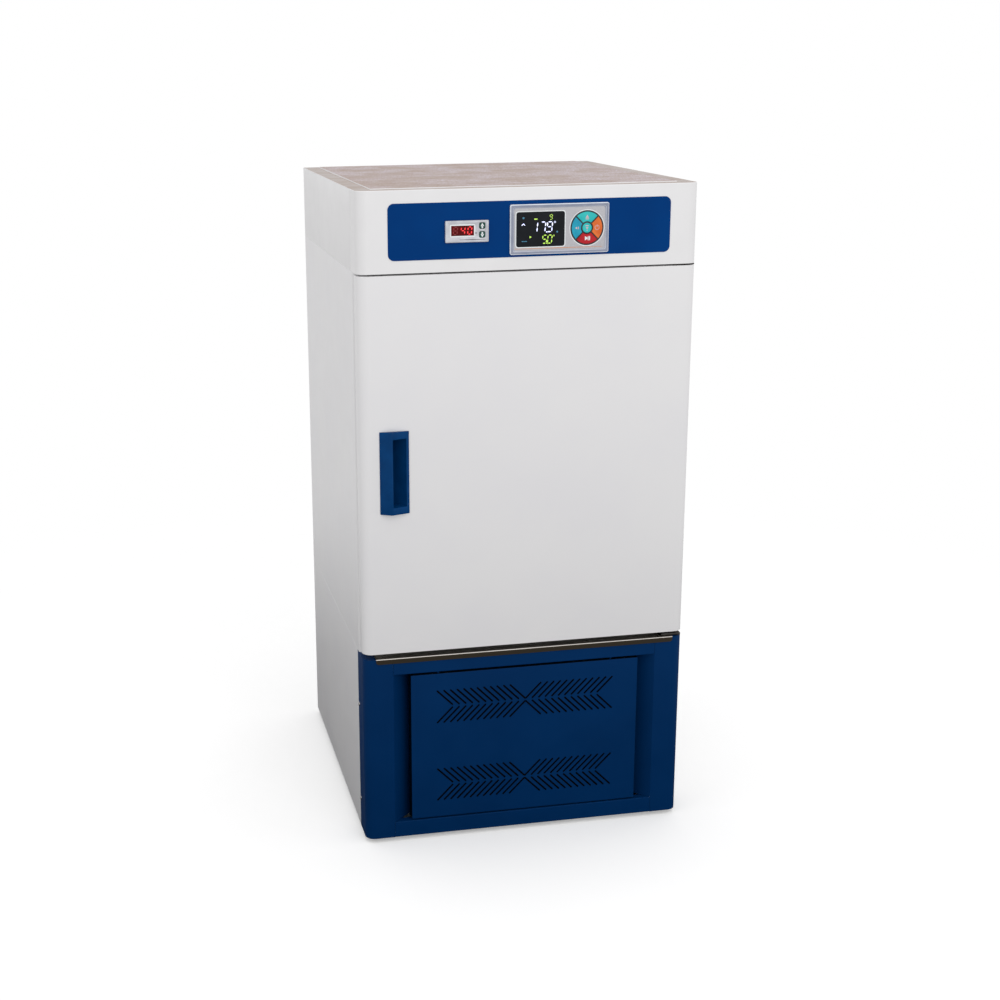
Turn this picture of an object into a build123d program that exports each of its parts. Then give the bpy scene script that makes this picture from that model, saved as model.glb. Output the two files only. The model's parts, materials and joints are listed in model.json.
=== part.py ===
from build123d import *
import math
import os

# Cooled laboratory incubator, door hinged on the right, compressor in the base.
# Millimetres. X runs to the right seen from the front, -Y is the front, +Z is up.
# The origin is under the middle of the overall box, on the floor.

# --- overall sizes -----------------------------------------------------------
WIDTH = 560.0
DEPTH = 600.0
BODY_HEIGHT = 1100.0
FOOT_HEIGHT = 8.0
HANDLE_PROUD = 10.6

# --- how the height is shared ------------------------------------------------
BASE_HEIGHT = 328.0
HEAD_HEIGHT = 129.0
DOOR_GAP_BELOW = 10.0
DOOR_GAP_ABOVE = 3.0

# --- sheet metal -------------------------------------------------------------
SHEET = 1.2
FRONT_CORNER = 16.0
FOLD = 1.0
SEAM = 0.4

# --- cabinet and chamber -----------------------------------------------------
DOOR_THICKNESS = 30.0
GASKET_HEIGHT = 12.0
CABINET_CORNER = 8.0
FRONT_FLANGE = 20.0
FRAME_THICKNESS = 6.0
SIDE_WALL = 70.0
TOP_WALL = 71.5
REAR_WALL = 82.0
CHAMBER_CORNER = 14.0
DUCT_DEPTH = 96.0

# --- door --------------------------------------------------------------------
HINGE_INSET = 18.0
HINGE_SETBACK = 15.0
PIN_RADIUS = 4.0
PIN_CLEARANCE = 0.05
PIN_LENGTH = 14.0
BUSH_RADIUS = 7.0
BUSH_FIT = 0.1
PIN_TIP_GAP = 2.0
BRACKET_REACH = 20.0
BRACKET_INSET = 3.0
BRACKET_SETBACK = 4.0
BRACKET_LEAF = 36.0
BRACKET_LEAF_SHEET = 3.0
UPPER_BRACKET_SHEET = 2.0
LOWER_BRACKET_SHEET = 4.0
PLUG_CLEARANCE = 12.0
PLUG_DEPTH = 28.0
PLUG_EDGE = 8.0
LINER_SHEET = 2.5
GASKET_MARGIN = 20.0
GASKET_WIDTH = 16.0
GASKET_CLEARANCE = 0.15

# --- door handle -------------------------------------------------------------
HANDLE_WIDTH = 48.5
HANDLE_HEIGHT = 137.5
HANDLE_FROM_LEFT = 32.0
HANDLE_FROM_DOOR_BOTTOM = 242.6
HANDLE_RIDGE = 18.5
HANDLE_END_WALL = 12.0
HANDLE_CUP_DEPTH = 23.0
HANDLE_CUP_INSET = 4.0
HANDLE_FIT = 0.3

# --- base front --------------------------------------------------------------
POST_WIDTH = 50.0
POST_WRAP = 60.0
WING_REACH = 35.0
RAIL_TOP_HEIGHT = 29.0
RAIL_BOTTOM_HEIGHT = 28.0
RAIL_FLANGE = 15.0
GRILLE_SIDE_GAP = 30.0
GRILLE_GAP_TOP = 4.0
GRILLE_GAP_BOTTOM = 2.5
GRILLE_RETURN = 20.0
SLOT_WIDTH = 3.0
SLOT_RUN = 26.0
SLOT_START = 2.7
SLOT_PITCH = 11.6
SLOT_MARGIN = 46.0
SLOT_ROW_LOW = 91.0
SLOT_ROW_HIGH = 234.7
GRILLE_STUD_RADIUS = 2.5
GRILLE_STUD_SHARE = 0.38
SILL_LIP = 8.0
SILL_LEFT = 21.0
SILL_RIGHT = 19.0
SILL_SHEET = 1.5
SILL_FOLD = 2.0
SILL_CORNER = 5.0

# --- head --------------------------------------------------------------------
HEAD_WRAP = 57.0
LID_INSET = 28.0
LID_LAP = 12.0
LID_REAR_INSET = 10.0
FASCIA_LEFT = 50.0
FASCIA_RIGHT = 48.0
FASCIA_HEIGHT = 88.5
FASCIA_CORNER = 10.0
FASCIA_SHEET = 0.6
FASCIA_FROM_TOP = 20.5

# --- temperature controller --------------------------------------------------
CONTROLLER_WIDTH = 162.0
CONTROLLER_HEIGHT = 78.5
CONTROLLER_PROUD = 5.0
CONTROLLER_X = 46.5
CONTROLLER_FROM_TOP = 66.0
CONTROLLER_FACE_DROP = 1.2
CONTROLLER_RIM = 5.0
CONTROLLER_BODY_INSET = 4.0
CONTROLLER_BODY_DEPTH = 62.0
WINDOW_WIDTH = 79.0
WINDOW_HEIGHT = 54.5
WINDOW_FROM_LEFT = 10.0
WINDOW_FROM_BOTTOM = 12.0
WINDOW_THICKNESS = 2.0
KEYPAD_FROM_LEFT = 126.0
KEYPAD_RADIUS = 27.5
KEYPAD_RING = 2.0
KEYPAD_DIVIDER = 1.5
CENTRE_KEY_RADIUS = 8.0
CENTRE_RING = 1.8
KEY_GAP = 0.3
KEY_THICKNESS = 3.0
KEY_TRAVEL = 0.8
KEY_PROUD = 0.5
KEY_EDGE = 0.4

# --- over-temperature thermostat ---------------------------------------------
THERMOSTAT_WIDTH = 70.0
THERMOSTAT_HEIGHT = 34.2
THERMOSTAT_PROUD = 4.0
THERMOSTAT_X = -104.0
THERMOSTAT_FROM_TOP = 66.1
THERMOSTAT_BODY_DEPTH = 55.0
LED_WIDTH = 36.3
LED_HEIGHT = 15.6
LED_FROM_LEFT = 9.5
LED_FROM_TOP = 7.9
SMALL_KEY = 9.4
SMALL_KEY_FROM_LEFT = 59.3
SMALL_KEY_FROM_TOP = (8.6, 22.4)

# --- machinery ---------------------------------------------------------------
PAN_SETBACK = 18.0
PAN_FLANGE = 20.0
FOOT_INSET = 45.0
FOOT_FROM_FRONT = 84.0
FOOT_PAD_RADIUS = 20.0
FOOT_PAD_HEIGHT = 7.4
FOOT_STUD_RADIUS = 5.0
FOOT_FIT = 0.05
FOOT_BOSS = 26.0
FOOT_BOSS_WALL = 5.0
FOOT_STUD_SPARE = 6.0
COMPRESSOR_RADIUS = 72.0
COMPRESSOR_HEIGHT = 150.0
COMPRESSOR_DOME = 38.0
COMPRESSOR_PLATE = (200.0, 128.0)
COMPRESSOR_PLATE_SHEET = 4.0
COMPRESSOR_X = 130.0
COMPRESSOR_FROM_REAR = 205.0
MOUNT_HEIGHT = 12.0
CONDENSER_WIDTH = 230.0
CONDENSER_HEIGHT = 210.0
CONDENSER_DEPTH = 44.0
CONDENSER_SETBACK = 70.0
CONDENSER_X = -40.0
FAN_RADIUS = 88.0
FAN_TIP_GAP = 4.0
SHROUD_DEPTH = 34.0
FAN_MOTOR_RADIUS = 27.0
FAN_ARM_RADIUS = 2.5
PIPE_RADIUS = 4.0
THIN_PIPE_RADIUS = 3.0
FIN_PITCH = 10.0
FIN_GROOVE = 7.0
CIRCULATION_FAN_RADIUS = 60.0
SHAFT_RADIUS = 3.0
SHAFT_FIT = 0.05
BLADE_SHEET = 1.6
HUB_FACE = 4.0
SHELF_GAP_TO_PLUG = 24.0
SHELF_WIRE = 2.0
SHELF_ROD = 3.0
SHELF_WIRES = 15
SHELF_SIDE_GAP = 11.0
UPRIGHT_WIDTH = 18.0
UPRIGHT_SHEET = 2.0
NOTCH_PITCH = 25.0
NOTCH_SIZE = (8.0, 7.0)
SHELF_LEVELS = (0.30, 0.66)
REAR_PANEL_INSET = 6.0
INLET_FLANGE = 2.5
ROCKER_WIDTH = 10.0
ROCKER_HEIGHT = 18.0
ROCKER_TILT = 8.0
ROCKER_PIN_RADIUS = 1.2
ROCKER_PIN_REACH = 1.0
ROCKER_PIN_FIT = 0.1
ROCKER_PIVOT_DEPTH = 1.0

# --- derived positions -------------------------------------------------------
LEFT = -WIDTH / 2
RIGHT = WIDTH / 2
FRONT = HANDLE_PROUD - (DEPTH + HANDLE_PROUD) / 2
REAR = FRONT + DEPTH
COMPRESSOR_Y = REAR - COMPRESSOR_FROM_REAR
BASE_LOW = FOOT_HEIGHT
BASE_TOP = BASE_LOW + BASE_HEIGHT
HEAD_TOP = BASE_LOW + BODY_HEIGHT
HEAD_LOW = HEAD_TOP - HEAD_HEIGHT
DOOR_LOW = BASE_TOP + DOOR_GAP_BELOW
DOOR_TOP = HEAD_LOW - DOOR_GAP_ABOVE
CABINET_FRONT = FRONT + DOOR_THICKNESS + GASKET_HEIGHT
LINER_FRONT = CABINET_FRONT + FRAME_THICKNESS
CHAMBER_WIDTH = WIDTH - 2 * SIDE_WALL
CHAMBER_LOW = BASE_TOP + TOP_WALL
CHAMBER_TOP = HEAD_LOW - TOP_WALL
CHAMBER_HEIGHT = CHAMBER_TOP - CHAMBER_LOW
CHAMBER_REAR = REAR - REAR_WALL
DUCT_FRONT = CHAMBER_REAR - DUCT_DEPTH
HINGE_X = RIGHT - HINGE_INSET
HINGE_Y = FRONT + HINGE_SETBACK
GRILLE_WIDTH = WIDTH - 2 * (POST_WIDTH + GRILLE_SIDE_GAP)
SLOTS_PER_HALF = int((GRILLE_WIDTH / 2 - SLOT_MARGIN - SLOT_RUN) / SLOT_PITCH) + 1
FASCIA_WIDTH = WIDTH - FASCIA_LEFT - FASCIA_RIGHT
FASCIA_CENTRE_X = (FASCIA_LEFT - FASCIA_RIGHT) / 2
GRILLE_LOW = BASE_LOW + RAIL_BOTTOM_HEIGHT + GRILLE_GAP_BOTTOM
GRILLE_TOP = BASE_TOP - RAIL_TOP_HEIGHT - GRILLE_GAP_TOP
PLUG_REAR = FRONT + DOOR_THICKNESS + PLUG_DEPTH
PAN_TOP = BASE_LOW + SHEET
BACK = REAR - REAR_PANEL_INSET


# --- helpers -----------------------------------------------------------------
def block(x, y, z):
    """A box from three (low, high) pairs."""
    size = (x[1] - x[0], y[1] - y[0], z[1] - z[0])
    return Pos((x[0] + x[1]) / 2, (y[0] + y[1]) / 2, (z[0] + z[1]) / 2) * Box(*size)


def rod(radius, start, end):
    """A round bar between two points."""
    path = Line(start, end)
    return sweep(Plane(origin=start, z_dir=path % 0) * Circle(radius), path)


def front_rounded(x, y, z, radius):
    """A box whose two upright front corners are rounded."""
    body = block(x, y, z)
    return fillet(body.edges().filter_by(Axis.Z).group_by(Axis.Y)[0], radius)


def folded(x, y, z, radius, fold):
    """A box with rounded upright front corners and softly folded top and bottom edges."""
    body = front_rounded(x, y, z, radius)
    for face in (body.faces().sort_by(Axis.Z)[0], body.faces().sort_by(Axis.Z)[-1]):
        edges = face.edges()
        rearmost = edges.sort_by(Axis.Y)[-1]
        body = fillet([e for e in edges if e.center() != rearmost.center()], fold)
    return body


def upright(sketch, x, z, y_front, y_rear):
    """Extrude a sketch drawn in X and Z between two Y planes."""
    place = Plane(origin=(x, y_rear, z), x_dir=(1, 0, 0), z_dir=(0, -1, 0))
    return extrude(place * sketch, y_rear - y_front)


def ring(x, y, z, width):
    """A rectangular frame lying in an XZ plane."""
    outer = block(x, y, z)
    hole = block((x[0] + width, x[1] - width), y, (z[0] + width, z[1] - width))
    return outer - hole


def tube(points, radius, bend):
    """A pipe along straight runs joined by bends."""
    path = FilletPolyline(*points, radius=bend)
    return sweep(Plane(origin=path @ 0, z_dir=path % 0) * Circle(radius), path)


def mirrored(shape):
    """The shape and its twin on the other side of the middle plane."""
    return Compound([*shape.solids(), *mirror(shape, Plane.YZ).solids()])


def group(shapes):
    """Separate solids that share one file."""
    return Compound([s for shape in shapes for s in shape.solids()])


parts = {}


# --- levelling feet and base tray ---------------------------------------------
FOOT_X = WIDTH / 2 - FOOT_INSET
FOOT_Y_FRONT = FRONT + FOOT_FROM_FRONT
FOOT_Y_REAR = REAR - FOOT_INSET
FOOT_PLACES = {
    "foot_front_left": (-FOOT_X, FOOT_Y_FRONT),
    "foot_front_right": (FOOT_X, FOOT_Y_FRONT),
    "foot_rear_left": (-FOOT_X, FOOT_Y_REAR),
    "foot_rear_right": (FOOT_X, FOOT_Y_REAR),
}


def levelling_foot(x, y):
    pad = Pos(x, y, FOOT_PAD_HEIGHT / 2) * Cylinder(FOOT_PAD_RADIUS, FOOT_PAD_HEIGHT)
    pad = chamfer(pad.edges().sort_by(Axis.Z)[-1], FOLD)
    stud_top = BASE_LOW + FOOT_BOSS + FOOT_STUD_SPARE
    return pad + rod(FOOT_STUD_RADIUS, (x, y, FOOT_PAD_HEIGHT - 1), (x, y, stud_top))


for foot_name, (foot_x, foot_y) in FOOT_PLACES.items():
    parts[foot_name] = levelling_foot(foot_x, foot_y)


def base_pan():
    x = (LEFT + SHEET, RIGHT - SHEET)
    y = (FRONT + PAN_SETBACK, BACK - SHEET)
    tray = block(x, y, (BASE_LOW, BASE_LOW + PAN_FLANGE))
    hollow_x = (x[0] + SHEET, x[1] - SHEET)
    hollow_y = (y[0] + SHEET, y[1] - SHEET)
    tray -= block(hollow_x, hollow_y, (PAN_TOP, BASE_LOW + PAN_FLANGE))
    for corner_x in (LEFT, RIGHT - POST_WIDTH):
        tray -= block((corner_x, corner_x + POST_WIDTH), (FRONT, FRONT + POST_WRAP + SHEET + 2 * SEAM),
                      (BASE_LOW, BASE_LOW + PAN_FLANGE))
    for px, py in FOOT_PLACES.values():
        tray += Pos(px, py, PAN_TOP + FOOT_BOSS / 2) \
            * Cylinder(FOOT_STUD_RADIUS + FOOT_BOSS_WALL, FOOT_BOSS)
    for px, py in FOOT_PLACES.values():
        tray -= rod(FOOT_STUD_RADIUS + FOOT_FIT, (px, py, 0), (px, py, BASE_LOW + 2 * FOOT_BOSS))
    return tray


parts["base_pan"] = base_pan()


# --- base front: posts, rails, grille and sill ---------------------------------
def near(shape, point):
    """The vertex of a sketch closest to a point."""
    target = Vector(*point)
    return sorted(shape.vertices(), key=lambda v: (Vector(*v) - target).length)[0]


def front_post():
    """Left-hand blue post: wraps the corner, closed on top, with a slanted wing at the grille."""
    t = SHEET
    wrap = make_face(Polyline((0, POST_WRAP), (0, 0), (POST_WIDTH, 0), (POST_WIDTH, t),
                              (t, t), (t, POST_WRAP), close=True))
    wrap = fillet(near(wrap, (0, 0, 0)), FRONT_CORNER)
    wrap = fillet(near(wrap, (t, t, 0)), FRONT_CORNER - t)
    side = t / math.sqrt(2)
    wing_end = POST_WIDTH + WING_REACH
    wing = make_face(Polyline((POST_WIDTH, 0), (wing_end, WING_REACH),
                              (wing_end - side, WING_REACH + side),
                              (POST_WIDTH + t - 2 * side, t), close=True))
    post = extrude(Pos(LEFT, FRONT, BASE_LOW) * wrap, BASE_HEIGHT)
    cap = make_face(Polyline((0, POST_WRAP), (0, 0), (POST_WIDTH, 0), (POST_WIDTH, POST_WRAP),
                             close=True))
    cap = fillet(near(cap, (0, 0, 0)), FRONT_CORNER)
    post += extrude(Pos(LEFT, FRONT, BASE_TOP - t) * cap, t)
    wing_low = BASE_LOW + RAIL_BOTTOM_HEIGHT + SEAM
    wing_top = BASE_TOP - RAIL_TOP_HEIGHT - SEAM
    return post + extrude(Pos(LEFT, FRONT, wing_low) * wing, wing_top - wing_low)


parts["front_post_left"] = front_post()
parts["front_post_right"] = mirror(parts["front_post_left"], Plane.YZ)


def rail(z):
    """A C-shaped rail between the posts, open to the rear."""
    x = (LEFT + POST_WIDTH + SEAM, RIGHT - POST_WIDTH - SEAM)
    body = block(x, (FRONT, FRONT + RAIL_FLANGE), z)
    body = fillet(body.edges().filter_by(Axis.X).group_by(Axis.Y)[0], FOLD)
    return body - block(x, (FRONT + SHEET, FRONT + RAIL_FLANGE), (z[0] + SHEET, z[1] - SHEET))


parts["front_rails"] = group([rail((BASE_TOP - RAIL_TOP_HEIGHT, BASE_TOP)),
                              rail((BASE_LOW, BASE_LOW + RAIL_BOTTOM_HEIGHT))])


def slot_arms(centre_z):
    """One row of slanted slots: arrowheads that point at the middle of the grille."""
    arms = []
    length = SLOT_RUN * math.sqrt(2) + SLOT_WIDTH
    for half in (-1, 1):
        for i in range(SLOTS_PER_HALF):
            vertex_x = half * (SLOT_WIDTH / 4 + i * SLOT_PITCH)
            for up in (-1, 1):
                middle_x = vertex_x + half * SLOT_RUN / 2
                middle_z = centre_z + up * (SLOT_START + SLOT_RUN / 2)
                arms.append(Pos(middle_x, middle_z) * Rot(0, 0, half * up * 45)
                            * SlotOverall(length, SLOT_WIDTH))
    return arms


def front_grille():
    x = (-GRILLE_WIDTH / 2, GRILLE_WIDTH / 2)
    z = (GRILLE_LOW, GRILLE_TOP)
    pan = block(x, (FRONT + FOLD, FRONT + GRILLE_RETURN), z)
    front_face = pan.faces().sort_by(Axis.Y)[0]
    pan = fillet(front_face.edges(), FOLD)
    pan -= block((x[0] + SHEET, x[1] - SHEET), (FRONT + FOLD + SHEET, FRONT + GRILLE_RETURN),
                 (z[0] + SHEET, z[1] - SHEET))
    for row in (SLOT_ROW_LOW, SLOT_ROW_HIGH):
        arms = Sketch() + slot_arms(0)
        pan -= upright(arms, 0, BASE_LOW + row, FRONT - FOLD, FRONT + FOLD + 3 * SHEET)
    stud_y = FRONT + RAIL_FLANGE / 2
    for stud_x in (-GRILLE_STUD_SHARE * GRILLE_WIDTH, GRILLE_STUD_SHARE * GRILLE_WIDTH):
        pan += rod(GRILLE_STUD_RADIUS, (stud_x, stud_y, GRILLE_TOP - SHEET),
                   (stud_x, stud_y, GRILLE_TOP + GRILLE_GAP_TOP))
        pan += rod(GRILLE_STUD_RADIUS, (stud_x, stud_y, GRILLE_LOW - GRILLE_GAP_BOTTOM),
                   (stud_x, stud_y, GRILLE_LOW + SHEET))
    return pan


parts["front_grille"] = front_grille()


def sill_plate():
    """Stainless plate over the base, with a short lip folded down in front."""
    x = (LEFT + SILL_LEFT, RIGHT - SILL_RIGHT)
    y = (FRONT - SHEET, CABINET_FRONT)
    body = block(x, y, (BASE_TOP - SILL_LIP, BASE_TOP + SILL_SHEET))
    top_edge = body.edges().filter_by(Axis.X).group_by(Axis.Y)[0].sort_by(Axis.Z)[-1]
    body = fillet(top_edge, SILL_FOLD)
    body -= block(x, (FRONT, CABINET_FRONT), (BASE_TOP - SILL_LIP, BASE_TOP))
    lip_corners = body.edges().filter_by(Axis.Y).group_by(Axis.Z)[0]
    return fillet(lip_corners, SILL_CORNER)


parts["sill_plate"] = sill_plate()


# --- base side and rear panels --------------------------------------------------
def base_side():
    """Left side panel with inward folds along all four edges."""
    x = (LEFT, LEFT + 10)
    y = (FRONT + POST_WRAP + SEAM, REAR)
    z = (BASE_LOW, BASE_TOP)
    body = block(x, y, z)
    outer_face = body.faces().sort_by(Axis.X)[0]
    body = fillet(outer_face.edges(), FOLD)
    body -= block((LEFT + SHEET, x[1]), (y[0] + SHEET, BACK), (z[0], z[1] - SHEET))
    body -= block((LEFT + SHEET, x[1]), (BACK - SHEET, REAR), z)
    return body


parts["base_side_panels"] = mirrored(base_side())

INLET_X = LEFT + 90.0
INLET_Z = BASE_LOW + 70.0
INLET_BODY = (28.0, 20.4)
INLET_DEPTH = 24.0
INLET_FACE = (34.0, 26.0)
INLET_MOUTH = (24.0, 16.4)
INLET_MOUTH_DEPTH = 19.0
INLET_PINS = ((-7, 1.5), (0, -2.5), (7, 1.5))
INLET_PIN_SIZE = (2.0, 4.0)
SWITCH_X = INLET_X + 45.0
SWITCH_BODY = (14.0, 22.0)
SWITCH_DEPTH = 22.0
SWITCH_FACE = (17.0, 26.0)
SWITCH_WELL_DEPTH = 10.0
PANEL_FIT = 0.2
VENT_ROWS = 9
VENT_X = 40.0
VENT_Z = 70.0
VENT_PITCH_X = 90.0
VENT_PITCH_Z = 22.0
VENT_LENGTH = 74.0
VENT_WIDTH = 7.0


def panel_cut(x, size):
    """A rectangular hole through the rear panel for something that snaps in."""
    half_width = size[0] / 2 + PANEL_FIT
    half_height = size[1] / 2 + PANEL_FIT
    return block((x - half_width, x + half_width), (BACK - 2 * SHEET, BACK + SHEET),
                 (INLET_Z - half_height, INLET_Z + half_height))


def base_rear_panel():
    panel = block((LEFT + SHEET, RIGHT - SHEET), (BACK - SHEET, BACK), (BASE_LOW, BASE_TOP - SHEET))
    vents = Sketch()
    for column in (-1, 0, 1):
        for row in range(VENT_ROWS):
            vents += Pos(VENT_X + column * VENT_PITCH_X, VENT_Z + row * VENT_PITCH_Z) \
                * SlotOverall(VENT_LENGTH, VENT_WIDTH)
    panel -= upright(vents, 0, BASE_LOW, BACK - 2 * SHEET, BACK + SHEET)
    return panel - panel_cut(INLET_X, INLET_BODY) - panel_cut(SWITCH_X, SWITCH_BODY)


parts["base_rear_panel"] = base_rear_panel()


# --- mains inlet and power switch ----------------------------------------------
def centred(x, size, y):
    """A box on the line of the inlet and the switch, from its middle and its face size."""
    return block((x - size[0] / 2, x + size[0] / 2), y,
                 (INLET_Z - size[1] / 2, INLET_Z + size[1] / 2))


def mains_inlet():
    """Appliance inlet: a flanged socket with three flat pins."""
    body = centred(INLET_X, INLET_BODY, (BACK - INLET_DEPTH, BACK))
    flange = centred(INLET_X, INLET_FACE, (BACK, BACK + INLET_FLANGE))
    body += fillet(flange.edges().filter_by(Axis.Y), 3)
    mouth = centred(INLET_X, INLET_MOUTH, (BACK - INLET_MOUTH_DEPTH, BACK + INLET_FLANGE))
    body -= fillet(mouth.edges().filter_by(Axis.Y).group_by(Axis.Z)[-1], 4)
    for pin_x, pin_z in INLET_PINS:
        pin = centred(INLET_X + pin_x, INLET_PIN_SIZE, (BACK - INLET_MOUTH_DEPTH - 1, BACK - 6))
        body += Pos(0, 0, pin_z) * pin
    return body


def rocker_pivot(fit):
    """The pin that the rocker tips on, or with a fit, the hole that it turns in."""
    reach = ROCKER_WIDTH / 2 + ROCKER_PIN_REACH + fit
    y = BACK - ROCKER_PIVOT_DEPTH
    return rod(ROCKER_PIN_RADIUS + fit, (SWITCH_X - reach, y, INLET_Z), (SWITCH_X + reach, y, INLET_Z))


def power_switch_housing():
    """Snap-in switch body with a well for the rocker."""
    body = centred(SWITCH_X, SWITCH_BODY, (BACK - SWITCH_DEPTH, BACK))
    flange = centred(SWITCH_X, SWITCH_FACE, (BACK, BACK + INLET_FLANGE))
    body += fillet(flange.edges().filter_by(Axis.Y), 2)
    well_size = (ROCKER_WIDTH + 2 * KEY_GAP, ROCKER_HEIGHT + 2 * KEY_GAP)
    well = centred(SWITCH_X, well_size, (BACK - SWITCH_WELL_DEPTH, BACK + INLET_FLANGE))
    return body - well - rocker_pivot(ROCKER_PIN_FIT)


def power_switch_rocker():
    """A shallow V-shaped rocker, drawn tipped towards its upper half, on its pivot pin."""
    half = ROCKER_HEIGHT / 2
    profile = make_face(Polyline((0, 3.2), (half - 0.4, 4.6), (half - 0.4, 1.0), (0, -5.0),
                                 (-half + 0.4, 1.0), (-half + 0.4, 4.6), close=True))
    pivot_y = BACK - ROCKER_PIVOT_DEPTH
    place = Plane(origin=(SWITCH_X - ROCKER_WIDTH / 2, pivot_y, INLET_Z), x_dir=(0, 0, 1),
                  z_dir=(1, 0, 0))
    flat = extrude(place * mirror(profile, Plane.XZ), ROCKER_WIDTH)
    return flat.rotate(Axis((0, pivot_y, INLET_Z), (1, 0, 0)), ROCKER_TILT) + rocker_pivot(0)


parts["mains_inlet"] = mains_inlet()
parts["power_switch_housing"] = power_switch_housing()
parts["power_switch_rocker"] = power_switch_rocker()


# --- cabinet: outer case, front frame, liner and insulation ----------------------
def rounded_tube(x, y, z, radius):
    """A box rounded along its four edges that run front to back."""
    body = block(x, y, z)
    return fillet(body.edges().filter_by(Axis.Y), radius)


CHAMBER_X = (-CHAMBER_WIDTH / 2, CHAMBER_WIDTH / 2)
CHAMBER_Z = (CHAMBER_LOW, CHAMBER_TOP)
PIPE_X = 60.0
PIPE_SPACING = 24.0
PIPE_Y = CHAMBER_REAR - 30.0
PIPE_HOLE = PIPE_RADIUS + 2.0


def grown(span, margin):
    return (span[0] - margin, span[1] + margin)


def pipe_holes(z):
    return [rod(PIPE_HOLE, (PIPE_X + i * PIPE_SPACING, PIPE_Y, z[0]),
                (PIPE_X + i * PIPE_SPACING, PIPE_Y, z[1])) for i in (0, 1)]


def liner_outside():
    x = grown(CHAMBER_X, SHEET)
    return rounded_tube(x, (LINER_FRONT, CHAMBER_REAR + SHEET), grown(CHAMBER_Z, SHEET),
                        CHAMBER_CORNER + SHEET)


def cabinet_shell():
    """Five-sided outer case with a flange around its open front."""
    z = (BASE_TOP, HEAD_LOW)
    body = front_rounded((LEFT, RIGHT), (CABINET_FRONT, REAR), z, CABINET_CORNER)
    for face in (body.faces().sort_by(Axis.Z)[0], body.faces().sort_by(Axis.Z)[-1]):
        body = chamfer(face.edges(), FOLD / 2)
    inner_x = (LEFT + SHEET, RIGHT - SHEET)
    inner_y = (CABINET_FRONT + SHEET, REAR - SHEET)
    inner_z = (BASE_TOP + SHEET, HEAD_LOW - SHEET)
    body -= front_rounded(inner_x, inner_y, inner_z, CABINET_CORNER - SHEET)
    body -= block((LEFT + FRONT_FLANGE, RIGHT - FRONT_FLANGE), (CABINET_FRONT, CABINET_FRONT + SHEET),
                  (BASE_TOP + FRONT_FLANGE, HEAD_LOW - FRONT_FLANGE))
    for hole in pipe_holes((BASE_TOP - SHEET, BASE_TOP + 2 * SHEET)):
        body -= hole
    return body


def cabinet_front_frame():
    """Insulating frame between the case's flange and the chamber's mouth."""
    outer = block((LEFT + FRONT_FLANGE, RIGHT - FRONT_FLANGE), (CABINET_FRONT, LINER_FRONT),
                  (BASE_TOP + FRONT_FLANGE, HEAD_LOW - FRONT_FLANGE))
    return outer - rounded_tube(CHAMBER_X, (CABINET_FRONT - 1, LINER_FRONT + 1), CHAMBER_Z,
                                CHAMBER_CORNER)


def chamber_liner():
    body = liner_outside()
    body -= rounded_tube(CHAMBER_X, (LINER_FRONT, CHAMBER_REAR), CHAMBER_Z, CHAMBER_CORNER)
    for hole in pipe_holes((CHAMBER_LOW - 3 * SHEET, CHAMBER_LOW + SHEET)):
        body -= hole
    return body


def insulation():
    z = (BASE_TOP + SHEET, HEAD_LOW - SHEET)
    body = front_rounded((LEFT + SHEET, RIGHT - SHEET), (CABINET_FRONT + SHEET, REAR - SHEET), z,
                         CABINET_CORNER - SHEET)
    body -= block((LEFT + FRONT_FLANGE, RIGHT - FRONT_FLANGE), (CABINET_FRONT, LINER_FRONT),
                  (BASE_TOP + FRONT_FLANGE, HEAD_LOW - FRONT_FLANGE))
    body -= liner_outside()
    body -= block(CHAMBER_X, (CABINET_FRONT, LINER_FRONT + SHEET), CHAMBER_Z)
    for hole in pipe_holes((BASE_TOP, CHAMBER_LOW)):
        body -= hole
    return body


parts["cabinet_shell"] = cabinet_shell()
parts["cabinet_front_frame"] = cabinet_front_frame()
parts["chamber_liner"] = chamber_liner()
parts["insulation"] = insulation()


# --- air duct, circulation fan, evaporator, heater and probe ----------------------
CIRCULATION_Z = CHAMBER_TOP - 105.0
CIRCULATION_HUB = 16.0
HEATER_LOW = CIRCULATION_Z - CIRCULATION_FAN_RADIUS - 42.0
COIL_LOW = CHAMBER_LOW + 60.0
COIL_TOP = HEATER_LOW - 20.0


def duct_panel():
    """Stainless panel in front of the duct, with a fan guard and return slots."""
    x = grown(CHAMBER_X, -SEAM)
    y = (DUCT_FRONT, DUCT_FRONT + SHEET)
    panel = block(x, y, grown(CHAMBER_Z, -SEAM))
    panel = fillet(panel.edges().filter_by(Axis.Y), CHAMBER_CORNER)
    guard = Sketch()
    for column in range(-4, 5):
        offset = 12.0 * column
        half = math.sqrt(CIRCULATION_FAN_RADIUS ** 2 - offset ** 2)
        guard += Pos(offset, 0) * SlotOverall(2 * half, 7, rotation=90)
    panel -= upright(guard, 0, CIRCULATION_Z, DUCT_FRONT - 1, DUCT_FRONT + 2 * SHEET)
    returns = Sketch()
    for column in range(-7, 8):
        for row in range(3):
            returns += Pos(24 * column, 34 + 22 * row) * SlotOverall(17, 5)
    panel -= upright(returns, 0, CHAMBER_LOW, DUCT_FRONT - 1, DUCT_FRONT + 2 * SHEET)
    for side in (-1, 1):
        edge = side * (CHAMBER_WIDTH / 2 - SEAM)
        fold_x = (min(edge, edge - side * SHEET), max(edge, edge - side * SHEET))
        panel += block(fold_x, (DUCT_FRONT, CHAMBER_REAR),
                       (CHAMBER_LOW + CHAMBER_CORNER, CHAMBER_TOP - CHAMBER_CORNER))
    return panel


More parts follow.
